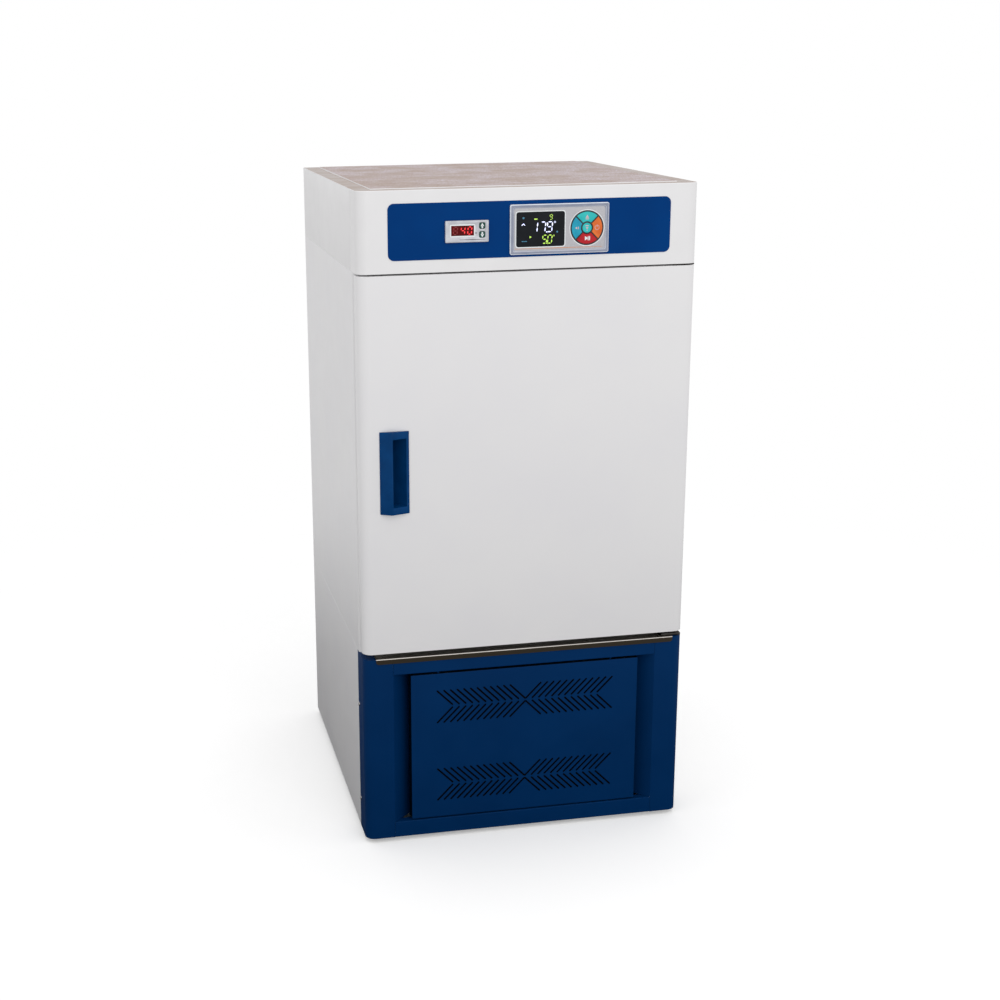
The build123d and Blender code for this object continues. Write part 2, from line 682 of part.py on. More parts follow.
def circulation_fan_motor():
    """Motor on a cross bracket fixed to the rear wall of the duct."""
    motor = rod(26, (0, CHAMBER_REAR - 40, CIRCULATION_Z), (0, CHAMBER_REAR, CIRCULATION_Z))
    bracket = block((-80, 80), (CHAMBER_REAR - 2, CHAMBER_REAR),
                    (CIRCULATION_Z - 14, CIRCULATION_Z + 14))
    shaft = rod(SHAFT_RADIUS, (0, CHAMBER_REAR - 60, CIRCULATION_Z),
                (0, CHAMBER_REAR - 40, CIRCULATION_Z))
    return motor + bracket + shaft


def bladed_rotor(centre, hub_radius, tip_radius, y, blades, pitch):
    """Axial fan on a shaft that enters from the rear: a hub with pitched blades."""
    cx, cz = centre
    hub = rod(hub_radius, (cx, y[0], cz), (cx, y[1], cz))
    chord = (y[1] - y[0]) * 0.9 / math.sin(math.radians(pitch))
    blade = Pos(cx + (hub_radius + tip_radius) / 2 - 1, (y[0] + y[1]) / 2, cz) \
        * Rot(pitch, 0, 0) * Box(tip_radius - hub_radius + 2, BLADE_SHEET, chord)
    axis = Axis((cx, 0, cz), (0, 1, 0))
    for i in range(blades):
        hub += blade.rotate(axis, i * 360 / blades)
    rotor = hub & rod(tip_radius, (cx, y[0], cz), (cx, y[1], cz))
    return rotor - rod(SHAFT_RADIUS + SHAFT_FIT, (cx, y[0] + HUB_FACE, cz), (cx, y[1] + 1, cz))


def circulation_fan_impeller():
    return bladed_rotor((0, CIRCULATION_Z), CIRCULATION_HUB, CIRCULATION_FAN_RADIUS,
                        (CHAMBER_REAR - 76, CHAMBER_REAR - 48), 6, 40)


def evaporator():
    """Finned coil standing in the lower half of the duct."""
    x = (-160.0, 160.0)
    y = (CHAMBER_REAR - 62.0, CHAMBER_REAR - 12.0)
    z = (COIL_LOW, COIL_TOP)
    coil = block(x, y, z)
    fins = int((x[1] - x[0]) / FIN_PITCH)
    grooves = []
    for i in range(fins):
        start = x[0] + FIN_PITCH * (i + 0.5) - FIN_GROOVE / 2
        for front_edge in (y[0] - 1, y[1] - 14):
            grooves.append(block((start, start + FIN_GROOVE), (front_edge, front_edge + 15),
                                 (z[0] - 1, z[1] + 1)))
    return coil - group(grooves)


def heater_element():
    """Tubular heater in three passes above the coil."""
    y = CHAMBER_REAR - 30.0
    high = HEATER_LOW + 24
    points = [(-150, y, HEATER_LOW), (150, y, HEATER_LOW), (150, y, high), (-150, y, high)]
    return tube(points, 4.0, 11.9)


def temperature_probe():
    z = CHAMBER_TOP - 60.0
    x = CHAMBER_WIDTH / 2 - 46.0
    stem = rod(3, (x, DUCT_FRONT - 42, z), (x, DUCT_FRONT, z))
    collar = rod(7, (x, DUCT_FRONT - 5, z), (x, DUCT_FRONT, z))
    return stem + collar


parts["duct_panel"] = duct_panel()
parts["circulation_fan_motor"] = circulation_fan_motor()
parts["circulation_fan_impeller"] = circulation_fan_impeller()
parts["evaporator"] = evaporator()
parts["heater_element"] = heater_element()
parts["temperature_probe"] = temperature_probe()


# --- shelves --------------------------------------------------------------------
SHELF_FRONT = PLUG_REAR + SHELF_GAP_TO_PLUG
SHELF_REAR = DUCT_FRONT - 12.0
SHELF_HALF = CHAMBER_WIDTH / 2 - SHELF_SIDE_GAP
RAIL_LEDGE = 14.0
SHELF_Z = [CHAMBER_LOW + share * CHAMBER_HEIGHT for share in SHELF_LEVELS]
UPRIGHT_Y = (SHELF_FRONT + 20.0, SHELF_REAR - 20.0)


def shelf_supports():
    """Slotted uprights on both side walls, and a ledge rail for each end of each shelf."""
    pieces = []
    wall = CHAMBER_WIDTH / 2
    for y in UPRIGHT_Y:
        strip = block((-wall, -wall + UPRIGHT_SHEET), (y - UPRIGHT_WIDTH / 2, y + UPRIGHT_WIDTH / 2),
                      (CHAMBER_LOW + 20, CHAMBER_TOP - 20))
        count = int((CHAMBER_HEIGHT - 60) / NOTCH_PITCH)
        notches = []
        for i in range(count):
            low = CHAMBER_LOW + 32 + NOTCH_PITCH * i
            notches.append(block((-wall, -wall + UPRIGHT_SHEET),
                                 (y - NOTCH_SIZE[0] / 2, y + NOTCH_SIZE[0] / 2),
                                 (low, low + NOTCH_SIZE[1])))
        pieces.append(strip - group(notches))
    for z in SHELF_Z:
        top = z - SHELF_ROD
        angle = block((-wall + UPRIGHT_SHEET, -wall + RAIL_LEDGE + UPRIGHT_SHEET),
                      (UPRIGHT_Y[0] - 20, UPRIGHT_Y[1] + 20), (top - 12, top))
        angle -= block((-wall + UPRIGHT_SHEET + 1.5, -wall + RAIL_LEDGE + UPRIGHT_SHEET),
                       (UPRIGHT_Y[0] - 20, UPRIGHT_Y[1] + 20), (top - 12, top - 1.5))
        pieces.append(angle)
    return mirrored(group(pieces))


def wire_shelf(z):
    """Welded rod frame with thin wires running front to back on top of it."""
    middle = (SHELF_FRONT + SHELF_REAR) / 2
    shelf = rod(SHELF_ROD, (-SHELF_HALF, SHELF_FRONT, z), (SHELF_HALF, SHELF_FRONT, z))
    for y in (middle, SHELF_REAR):
        shelf += rod(SHELF_ROD, (-SHELF_HALF, y, z), (SHELF_HALF, y, z))
    side = SHELF_HALF - SHELF_ROD
    for x in (-side, side):
        shelf += rod(SHELF_ROD * 0.9, (x, SHELF_FRONT, z), (x, SHELF_REAR, z))
    step = 2 * side / (SHELF_WIRES + 1)
    for i in range(SHELF_WIRES):
        x = -side + step * (i + 1)
        shelf += rod(SHELF_WIRE, (x, SHELF_FRONT, z + SHELF_ROD), (x, SHELF_REAR, z + SHELF_ROD))
    return shelf


parts["shelf_supports"] = shelf_supports()
parts["shelf_lower"] = wire_shelf(SHELF_Z[0])
parts["shelf_upper"] = wire_shelf(SHELF_Z[1])


# --- door -----------------------------------------------------------------------
HANDLE_X = (LEFT + HANDLE_FROM_LEFT, LEFT + HANDLE_FROM_LEFT + HANDLE_WIDTH)
HANDLE_Z = (DOOR_LOW + HANDLE_FROM_DOOR_BOTTOM,
            DOOR_LOW + HANDLE_FROM_DOOR_BOTTOM + HANDLE_HEIGHT)
CUP_X = grown(HANDLE_X, -HANDLE_CUP_INSET)
CUP_Z = grown(HANDLE_Z, -HANDLE_CUP_INSET)
PLUG_X = grown(CHAMBER_X, -PLUG_CLEARANCE)
PLUG_Z = grown(CHAMBER_Z, -PLUG_CLEARANCE)
DOOR_BACK = FRONT + DOOR_THICKNESS
BUSH_PLACES = ((DOOR_LOW, DOOR_LOW + PIN_LENGTH), (DOOR_TOP - PIN_LENGTH, DOOR_TOP))


def bush_space(radius):
    return group([rod(radius, (HINGE_X, HINGE_Y, z[0]), (HINGE_X, HINGE_Y, z[1]))
                  for z in BUSH_PLACES])


def door_skin():
    z = (DOOR_LOW, DOOR_TOP)
    body = folded((LEFT, RIGHT), (FRONT, DOOR_BACK), z, FRONT_CORNER, FOLD)
    body -= front_rounded((LEFT + SHEET, RIGHT - SHEET), (FRONT + SHEET, DOOR_BACK),
                          grown(z, -SHEET), FRONT_CORNER - SHEET)
    body -= block(grown(CUP_X, HANDLE_FIT), (FRONT, DOOR_BACK), grown(CUP_Z, HANDLE_FIT))
    return body - bush_space(BUSH_RADIUS + BUSH_FIT)


def door_handle():
    """Moulded grip: a tent-shaped cover over a cup, undercut behind its ridge."""
    left, right = HANDLE_X
    ridge = left + HANDLE_RIDGE
    cover = make_face(Polyline((left, 0), (left, 1.2), (ridge - 1.5, HANDLE_PROUD),
                               (ridge + 1.5, HANDLE_PROUD), (right, 1.6), (right, 0), close=True))
    grip = extrude(Plane(origin=(0, FRONT, HANDLE_Z[0]), x_dir=(1, 0, 0), z_dir=(0, 0, 1))
                   * mirror(cover, Plane.XZ), HANDLE_HEIGHT)
    grip += block(CUP_X, (FRONT, FRONT + HANDLE_CUP_DEPTH), CUP_Z)
    recess = make_face(Polyline((ridge + 1.5, 2 * HANDLE_PROUD), (right - 5, 2 * HANDLE_PROUD),
                                (right - 5, 0), (ridge + 8, 2 - HANDLE_CUP_DEPTH),
                                (CUP_X[0] + 2, 2 - HANDLE_CUP_DEPTH), (CUP_X[0] + 2, -4),
                                (ridge - 1, 3.5), (ridge + 1.5, 7), close=True))
    void = extrude(Plane(origin=(0, FRONT, HANDLE_Z[0] + HANDLE_END_WALL), x_dir=(1, 0, 0),
                         z_dir=(0, 0, 1)) * mirror(recess, Plane.XZ),
                   HANDLE_HEIGHT - 2 * HANDLE_END_WALL)
    return grip - void


def plug_outside():
    body = block(PLUG_X, (DOOR_BACK - LINER_SHEET, PLUG_REAR), PLUG_Z)
    body = fillet(body.edges().filter_by(Axis.Y), CHAMBER_CORNER)
    return fillet(body.faces().sort_by(Axis.Y)[-1].edges(), PLUG_EDGE)


def plug_inside():
    margin = LINER_SHEET
    body = block(grown(PLUG_X, -margin), (DOOR_BACK - LINER_SHEET, PLUG_REAR - margin),
                 grown(PLUG_Z, -margin))
    body = fillet(body.edges().filter_by(Axis.Y), CHAMBER_CORNER - margin)
    return fillet(body.faces().sort_by(Axis.Y)[-1].edges(), PLUG_EDGE - margin)


def door_liner():
    plate = block((LEFT + SHEET, RIGHT - SHEET), (DOOR_BACK - LINER_SHEET, DOOR_BACK),
                  (DOOR_LOW + SHEET, DOOR_TOP - SHEET))
    body = plate + plug_outside()
    return body - plug_inside() - bush_space(BUSH_RADIUS + BUSH_FIT)


def door_foam():
    body = front_rounded((LEFT + SHEET, RIGHT - SHEET), (FRONT + SHEET, DOOR_BACK - LINER_SHEET),
                         (DOOR_LOW + SHEET, DOOR_TOP - SHEET), FRONT_CORNER - SHEET)
    body += plug_inside()
    body -= block(grown(CUP_X, HANDLE_FIT), (FRONT, FRONT + HANDLE_CUP_DEPTH + HANDLE_FIT),
                  grown(CUP_Z, HANDLE_FIT))
    return body - bush_space(BUSH_RADIUS + BUSH_FIT)


def door_gasket():
    """Magnetic seal: a wide base strip and a narrower bellows that meets the cabinet."""
    x = grown((LEFT, RIGHT), -GASKET_MARGIN)
    z = grown((DOOR_LOW, DOOR_TOP), -GASKET_MARGIN)
    base = ring(x, (DOOR_BACK, DOOR_BACK + 3), z, GASKET_WIDTH)
    bellows = ring(grown(x, -2.5), (DOOR_BACK + 3, CABINET_FRONT - GASKET_CLEARANCE),
                   grown(z, -2.5), GASKET_WIDTH - 5)
    return base + bellows


def door_bushes():
    pieces = []
    for z in BUSH_PLACES:
        bush = rod(BUSH_RADIUS, (HINGE_X, HINGE_Y, z[0]), (HINGE_X, HINGE_Y, z[1]))
        pieces.append(bush - rod(PIN_RADIUS + PIN_CLEARANCE, (HINGE_X, HINGE_Y, z[0]),
                                 (HINGE_X, HINGE_Y, z[1])))
    return group(pieces)


def hinge_brackets():
    """Two bent brackets on the cabinet's front, each with a fixed pin."""
    x = (HINGE_X - BRACKET_REACH, RIGHT - BRACKET_INSET)
    leaf_y = (CABINET_FRONT - BRACKET_LEAF_SHEET, CABINET_FRONT)
    leaf_x = (RIGHT - GASKET_MARGIN + 2, RIGHT - BRACKET_INSET)
    plate_y = (FRONT + BRACKET_SETBACK, CABINET_FRONT)
    upper_z = (HEAD_LOW - UPPER_BRACKET_SHEET, HEAD_LOW)
    upper = block(x, plate_y, upper_z)
    upper += block(leaf_x, leaf_y, (upper_z[0] - BRACKET_LEAF, upper_z[1]))
    upper += rod(PIN_RADIUS, (HINGE_X, HINGE_Y, DOOR_TOP - PIN_LENGTH + PIN_TIP_GAP),
                 (HINGE_X, HINGE_Y, upper_z[1]))
    lower_z = (BASE_TOP + SILL_SHEET, BASE_TOP + SILL_SHEET + LOWER_BRACKET_SHEET)
    lower = block(x, plate_y, lower_z)
    lower += block(leaf_x, leaf_y, (lower_z[0], lower_z[1] + BRACKET_LEAF))
    lower += rod(BUSH_RADIUS, (HINGE_X, HINGE_Y, lower_z[0]), (HINGE_X, HINGE_Y, DOOR_LOW - 0.5))
    lower += rod(PIN_RADIUS, (HINGE_X, HINGE_Y, lower_z[0]),
                 (HINGE_X, HINGE_Y, DOOR_LOW + PIN_LENGTH - PIN_TIP_GAP))
    return group([upper, lower])


parts["door_skin"] = door_skin()
parts["door_handle"] = door_handle()
parts["door_liner"] = door_liner()
parts["door_foam"] = door_foam()
parts["door_gasket"] = door_gasket()
parts["door_bushes"] = door_bushes()
parts["hinge_brackets"] = hinge_brackets()


# --- head: front panel, rear shell, lid and fascia --------------------------------
HEAD_Z = (HEAD_LOW, HEAD_TOP)
HEAD_REAR_START = FRONT + HEAD_WRAP + SEAM
FLANGE_WIDTH = LID_INSET + LID_LAP
CONTROLLER_Z = HEAD_TOP - CONTROLLER_FROM_TOP
THERMOSTAT_Z = HEAD_TOP - THERMOSTAT_FROM_TOP
FASCIA_Z = HEAD_TOP - FASCIA_FROM_TOP - FASCIA_HEIGHT / 2
BODY_CUTS = (
    (CONTROLLER_X, CONTROLLER_Z, CONTROLLER_WIDTH - 2 * CONTROLLER_BODY_INSET,
     CONTROLLER_HEIGHT - 2 * CONTROLLER_BODY_INSET),
    (THERMOSTAT_X, THERMOSTAT_Z, THERMOSTAT_WIDTH - 4, THERMOSTAT_HEIGHT - 4),
)


def control_cuts(margin):
    """Openings for the bodies of both controllers."""
    cuts = []
    for x, z, width, height in BODY_CUTS:
        cuts.append(block((x - width / 2 - margin, x + width / 2 + margin), (FRONT - 2, FRONT + 4),
                          (z - height / 2 - margin, z + height / 2 + margin)))
    return group(cuts)


def lid_opening(front, rear):
    x = (LEFT + FLANGE_WIDTH, RIGHT - FLANGE_WIDTH)
    return block(x, (front, rear), (HEAD_TOP - 2 * SHEET, HEAD_TOP + SHEET))


def head_front_panel():
    y = (FRONT, FRONT + HEAD_WRAP)
    body = folded((LEFT, RIGHT), y, HEAD_Z, FRONT_CORNER, FOLD)
    body -= front_rounded((LEFT + SHEET, RIGHT - SHEET), (FRONT + SHEET, y[1]),
                          grown(HEAD_Z, -SHEET), FRONT_CORNER - SHEET)
    body -= lid_opening(FRONT + FLANGE_WIDTH, y[1])
    return body - control_cuts(PANEL_FIT)


def head_shell():
    """Sides and rear of the head, with a flange that carries the lid."""
    y = (HEAD_REAR_START, REAR)
    body = block((LEFT, RIGHT), y, HEAD_Z)
    body = chamfer(body.faces().sort_by(Axis.Z)[0].edges(), FOLD / 2)
    body -= block((LEFT + SHEET, RIGHT - SHEET), (y[0], REAR - SHEET),
                  (HEAD_LOW, HEAD_TOP - SHEET))
    return body - lid_opening(y[0], REAR - LID_REAR_INSET - LID_LAP)


def top_lid():
    x = (LEFT + LID_INSET, RIGHT - LID_INSET)
    y = (FRONT + LID_INSET, REAR - LID_REAR_INSET)
    plate = block(x, y, (HEAD_TOP, HEAD_TOP + SHEET))
    top_edges = plate.faces().sort_by(Axis.Z)[-1].edges()
    return fillet(top_edges, FOLD * 0.8)


def fascia_overlay():
    sketch = RectangleRounded(FASCIA_WIDTH, FASCIA_HEIGHT, FASCIA_CORNER)
    sheet = upright(sketch, FASCIA_CENTRE_X, FASCIA_Z, FRONT - FASCIA_SHEET, FRONT)
    return sheet - control_cuts(PANEL_FIT)


parts["head_front_panel"] = head_front_panel()
parts["head_shell"] = head_shell()
parts["top_lid"] = top_lid()
parts["fascia_overlay"] = fascia_overlay()


# --- temperature controller -------------------------------------------------------
BEZEL_FRONT = FRONT - FASCIA_SHEET - CONTROLLER_PROUD
FACE_FRONT = BEZEL_FRONT + CONTROLLER_FACE_DROP
CONTROLLER_LEFT = CONTROLLER_X - CONTROLLER_WIDTH / 2
CONTROLLER_LOW = CONTROLLER_Z - CONTROLLER_HEIGHT / 2
WINDOW_X = CONTROLLER_LEFT + WINDOW_FROM_LEFT + WINDOW_WIDTH / 2
WINDOW_Z = CONTROLLER_LOW + WINDOW_FROM_BOTTOM + WINDOW_HEIGHT / 2
KEYPAD_X = CONTROLLER_LEFT + KEYPAD_FROM_LEFT
KEY_WELL = KEY_THICKNESS + KEY_TRAVEL + 0.4
WELL_FLOOR = FACE_FRONT - KEY_PROUD + KEY_WELL


def controller_bezel():
    """Front moulding: a raised rim around a flat face, open for the window and the keys."""
    back = FRONT - FASCIA_SHEET
    body = block((CONTROLLER_LEFT, CONTROLLER_LEFT + CONTROLLER_WIDTH), (BEZEL_FRONT, back),
                 (CONTROLLER_LOW, CONTROLLER_LOW + CONTROLLER_HEIGHT))
    body = fillet(body.edges().filter_by(Axis.Y), 3)
    body = fillet(body.faces().sort_by(Axis.Y)[0].edges(), 1.5)
    face = RectangleRounded(CONTROLLER_WIDTH - 2 * CONTROLLER_RIM,
                            CONTROLLER_HEIGHT - 2 * CONTROLLER_RIM, 2)
    body -= upright(face, CONTROLLER_X, CONTROLLER_Z, BEZEL_FRONT - 1, FACE_FRONT)
    window = RectangleRounded(WINDOW_WIDTH + 2 * PANEL_FIT, WINDOW_HEIGHT + 2 * PANEL_FIT, 4)
    body -= upright(window, WINDOW_X, WINDOW_Z, BEZEL_FRONT - 1, back)
    return body - upright(Circle(KEYPAD_RADIUS), KEYPAD_X, CONTROLLER_Z, BEZEL_FRONT - 1, back)


def controller_window():
    window = RectangleRounded(WINDOW_WIDTH, WINDOW_HEIGHT, 4 - PANEL_FIT)
    return upright(window, WINDOW_X, WINDOW_Z, FACE_FRONT, FACE_FRONT + WINDOW_THICKNESS)


def divider_lines():
    """Two crossing strips on the diagonals of the keypad."""
    length = 2 * KEYPAD_RADIUS - KEYPAD_RING
    return [Rectangle(length, KEYPAD_DIVIDER, rotation=turn) for turn in (45, 135)]


def controller_housing():
    """Rear case with the black keypad base: an outer ring, a centre ring and dividers."""
    width, height = BODY_CUTS[0][2], BODY_CUTS[0][3]
    case = block((CONTROLLER_X - width / 2, CONTROLLER_X + width / 2),
                 (FRONT - FASCIA_SHEET, FRONT + CONTROLLER_BODY_DEPTH),
                 (CONTROLLER_Z - height / 2, CONTROLLER_Z + height / 2))
    ledge_z = (WINDOW_Z - WINDOW_HEIGHT / 2 + 2, WINDOW_Z + WINDOW_HEIGHT / 2 - 2)
    case += block((WINDOW_X - WINDOW_WIDTH / 2 + 2, WINDOW_X + WINDOW_WIDTH / 2 - 2),
                  (FACE_FRONT + WINDOW_THICKNESS, FRONT - FASCIA_SHEET), ledge_z)
    rim = KEYPAD_RADIUS - KEYPAD_RING
    case += upright(Circle(KEYPAD_RADIUS - PANEL_FIT), KEYPAD_X, CONTROLLER_Z, FACE_FRONT,
                    FRONT - FASCIA_SHEET)
    well = Circle(rim) - divider_lines() - Circle(CENTRE_KEY_RADIUS + CENTRE_RING)
    well += Circle(CENTRE_KEY_RADIUS)
    return case - upright(well, KEYPAD_X, CONTROLLER_Z, FACE_FRONT - 1, WELL_FLOOR)


def quarter_key(turn):
    """One of the four outer keys, cut from the ring between the dividers."""
    outer = KEYPAD_RADIUS - KEYPAD_RING - KEY_GAP
    inner = CENTRE_KEY_RADIUS + CENTRE_RING + KEY_GAP
    offset = (KEYPAD_DIVIDER / 2 + KEY_GAP) * math.sqrt(2)
    wedge = make_face(Polyline((0, offset), (40, 40 + offset), (-40, 40 + offset), close=True))
    shape = Rot(0, 0, turn) * (Sketch() + (Circle(outer) & wedge) - Circle(inner))
    key = upright(shape, KEYPAD_X, CONTROLLER_Z, FACE_FRONT - KEY_PROUD,
                  FACE_FRONT - KEY_PROUD + KEY_THICKNESS)
    return fillet(key.faces().sort_by(Axis.Y)[0].edges(), KEY_EDGE)


def centre_key():
    key = upright(Circle(CENTRE_KEY_RADIUS - KEY_GAP), KEYPAD_X, CONTROLLER_Z,
                  FACE_FRONT - KEY_PROUD, FACE_FRONT - KEY_PROUD + KEY_THICKNESS)
    return fillet(key.faces().sort_by(Axis.Y)[0].edges(), KEY_EDGE)


parts["controller_bezel"] = controller_bezel()
parts["controller_window"] = controller_window()
parts["controller_housing"] = controller_housing()
for key_name, turn in (("key_up", 0), ("key_left", 90), ("key_down", 180), ("key_right", 270)):
    parts[key_name] = quarter_key(turn)
parts["key_centre"] = centre_key()


# --- over-temperature thermostat --------------------------------------------------
SMALL_FRONT = FRONT - FASCIA_SHEET - THERMOSTAT_PROUD
THERMOSTAT_LEFT = THERMOSTAT_X - THERMOSTAT_WIDTH / 2
THERMOSTAT_TOP = THERMOSTAT_Z + THERMOSTAT_HEIGHT / 2
LED_X = THERMOSTAT_LEFT + LED_FROM_LEFT + LED_WIDTH / 2
LED_Z = THERMOSTAT_TOP - LED_FROM_TOP - LED_HEIGHT / 2
SMALL_KEY_X = THERMOSTAT_LEFT + SMALL_KEY_FROM_LEFT
SMALL_KEY_TRAVEL = 0.6


def thermostat_case():
    back = FRONT - FASCIA_SHEET
    bezel = block((THERMOSTAT_LEFT, THERMOSTAT_LEFT + THERMOSTAT_WIDTH), (SMALL_FRONT, back),
                  (THERMOSTAT_TOP - THERMOSTAT_HEIGHT, THERMOSTAT_TOP))
    bezel = fillet(bezel.edges().filter_by(Axis.Y), 1.5)
    bezel = fillet(bezel.faces().sort_by(Axis.Y)[0].edges(), 1.0)
    width, height = BODY_CUTS[1][2], BODY_CUTS[1][3]
    body = bezel + block((THERMOSTAT_X - width / 2, THERMOSTAT_X + width / 2),
                         (back, FRONT + THERMOSTAT_BODY_DEPTH),
                         (THERMOSTAT_Z - height / 2, THERMOSTAT_Z + height / 2))
    window = RectangleRounded(LED_WIDTH + 2 * PANEL_FIT, LED_HEIGHT + 2 * PANEL_FIT, 1)
    body -= upright(window, LED_X, LED_Z, SMALL_FRONT - 1, SMALL_FRONT + WINDOW_THICKNESS)
    well = RectangleRounded(SMALL_KEY + 2 * KEY_GAP, SMALL_KEY + 2 * KEY_GAP, 2.5)
    for drop in SMALL_KEY_FROM_TOP:
        body -= upright(well, SMALL_KEY_X, THERMOSTAT_TOP - drop, SMALL_FRONT - 1,
                        SMALL_FRONT + KEY_THICKNESS)
    return body


def small_key(drop):
    shape = RectangleRounded(SMALL_KEY, SMALL_KEY, 2.2)
    front = SMALL_FRONT - KEY_PROUD
    key = upright(shape, SMALL_KEY_X, THERMOSTAT_TOP - drop, front,
                  SMALL_FRONT + KEY_THICKNESS - SMALL_KEY_TRAVEL - 0.3)
    return fillet(key.faces().sort_by(Axis.Y)[0].edges(), KEY_EDGE)


def thermostat_window():
    window = RectangleRounded(LED_WIDTH, LED_HEIGHT, 0.8)
    return upright(window, LED_X, LED_Z, SMALL_FRONT + 0.3, SMALL_FRONT + WINDOW_THICKNESS)


parts["thermostat_case"] = thermostat_case()
parts["thermostat_window"] = thermostat_window()
parts["thermostat_key_up"] = small_key(SMALL_KEY_FROM_TOP[0])
parts["thermostat_key_down"] = small_key(SMALL_KEY_FROM_TOP[1])


# --- control board in the head -----------------------------------------------------
def control_board():
    """Circuit board on four posts, with a transformer and two relays."""
    x = (-110.0, 90.0)
    y = (REAR - 260.0, REAR - 110.0)
    board_z = HEAD_LOW + 14.0
    board = block(x, y, (board_z, board_z + 1.6))
    for px in (x[0] + 8, x[1] - 8):
        for py in (y[0] + 8, y[1] - 8):
            board += rod(4, (px, py, HEAD_LOW), (px, py, board_z + 0.8))
    board += block((-95, -35), (y[0] + 40, y[0] + 100), (board_z, board_z + 52))
    for offset in (0, 45):
        board += block((10 + offset, 40 + offset), (y[0] + 60, y[0] + 90), (board_z, board_z + 24))
    return board


parts["control_board"] = control_board()


# --- refrigeration machinery in the base --------------------------------------------
MOUNT_PLACES = [(COMPRESSOR_X + sx * 85, COMPRESSOR_Y + sy * 50) for sx in (-1, 1) for sy in (-1, 1)]
COMPRESSOR_LOW = PAN_TOP + MOUNT_HEIGHT


def compressor_mounts():
    """Four rubber feet between the compressor and the base tray."""
    return group([Pos(x, y, PAN_TOP + MOUNT_HEIGHT / 2) * Cylinder(13, MOUNT_HEIGHT)
                  for x, y in MOUNT_PLACES])


def compressor():
    """Hermetic compressor: domed pot on a foot plate, with a terminal box."""
    half_x, half_y = COMPRESSOR_PLATE[0] / 2, COMPRESSOR_PLATE[1] / 2
    plate = block((COMPRESSOR_X - half_x, COMPRESSOR_X + half_x),
                  (COMPRESSOR_Y - half_y, COMPRESSOR_Y + half_y),
                  (COMPRESSOR_LOW, COMPRESSOR_LOW + COMPRESSOR_PLATE_SHEET))
    plate = fillet(plate.edges().filter_by(Axis.Z), 12)
    pot = Pos(COMPRESSOR_X, COMPRESSOR_Y, COMPRESSOR_LOW + COMPRESSOR_HEIGHT / 2 + 2) \
        * Cylinder(COMPRESSOR_RADIUS, COMPRESSOR_HEIGHT)
    pot = fillet(pot.edges().sort_by(Axis.Z)[-1], COMPRESSOR_DOME)
    terminal = block((COMPRESSOR_X - COMPRESSOR_RADIUS - 22, COMPRESSOR_X),
                     (COMPRESSOR_Y - 24, COMPRESSOR_Y + 24),
                     (COMPRESSOR_LOW + 40, COMPRESSOR_LOW + 95))
    return plate + pot + fillet(terminal.edges().filter_by(Axis.X), 5)


CONDENSER_Y = (FRONT + CONDENSER_SETBACK, FRONT + CONDENSER_SETBACK + CONDENSER_DEPTH)
CONDENSER_Z = (PAN_TOP, PAN_TOP + CONDENSER_HEIGHT)
CONDENSER_SPAN = (CONDENSER_X - CONDENSER_WIDTH / 2, CONDENSER_X + CONDENSER_WIDTH / 2)
FAN_Z = PAN_TOP + CONDENSER_HEIGHT / 2
SHROUD_Y = (CONDENSER_Y[1], CONDENSER_Y[1] + SHROUD_DEPTH)


def condenser():
    """Finned block: grooves leave thin fins in front and behind the tube plane."""
    block_out = block(CONDENSER_SPAN, CONDENSER_Y, CONDENSER_Z)
    count = int(CONDENSER_WIDTH / FIN_PITCH)
    grooves = []
    for i in range(count):
        start = CONDENSER_SPAN[0] + FIN_PITCH * (i + 0.5) - FIN_GROOVE / 2
        for y in (CONDENSER_Y[0] - 1, CONDENSER_Y[1] - 15):
            grooves.append(block((start, start + FIN_GROOVE), (y, y + 16),
                                 (CONDENSER_Z[0] + 6, CONDENSER_Z[1] - 6)))
    return block_out - group(grooves)


def condenser_fan_shroud():
    """Duct plate around the fan, with three arms that hold the motor."""
    body = block(CONDENSER_SPAN, SHROUD_Y, CONDENSER_Z)
    body -= block(grown(CONDENSER_SPAN, -SHEET), (SHROUD_Y[0], SHROUD_Y[1] - SHEET),
                  grown(CONDENSER_Z, -SHEET))
    inner = FAN_RADIUS + FAN_TIP_GAP
    centre = (CONDENSER_X, FAN_Z)
    body += rod(inner + SHEET, (centre[0], SHROUD_Y[1] - 16, centre[1]),
                (centre[0], SHROUD_Y[1] + 8, centre[1]))
    body -= rod(inner, (centre[0], SHROUD_Y[0], centre[1]), (centre[0], SHROUD_Y[1] + 9, centre[1]))
    motor_y = (SHROUD_Y[1] + 22, SHROUD_Y[1] + 62)
    for turn in (90, 210, 330):
        reach = inner + 2
        end_x = centre[0] + reach * math.cos(math.radians(turn))
        end_z = centre[1] + reach * math.sin(math.radians(turn))
        body += rod(FAN_ARM_RADIUS, (centre[0], motor_y[0] + 6, centre[1]),
                    (end_x, SHROUD_Y[1] + 5, end_z))
    body += rod(FAN_MOTOR_RADIUS, (centre[0], motor_y[0], centre[1]), (centre[0], motor_y[1], centre[1]))
    return body + rod(SHAFT_RADIUS, (centre[0], SHROUD_Y[1] - 10, centre[1]),
                      (centre[0], motor_y[0], centre[1]))


def condenser_fan_blade():
    """Five-bladed fan pressed on the motor's shaft, turning in the shroud."""
    return bladed_rotor((CONDENSER_X, FAN_Z), 18, FAN_RADIUS, (SHROUD_Y[1] - 16, SHROUD_Y[1] + 4),
                        5, 32)


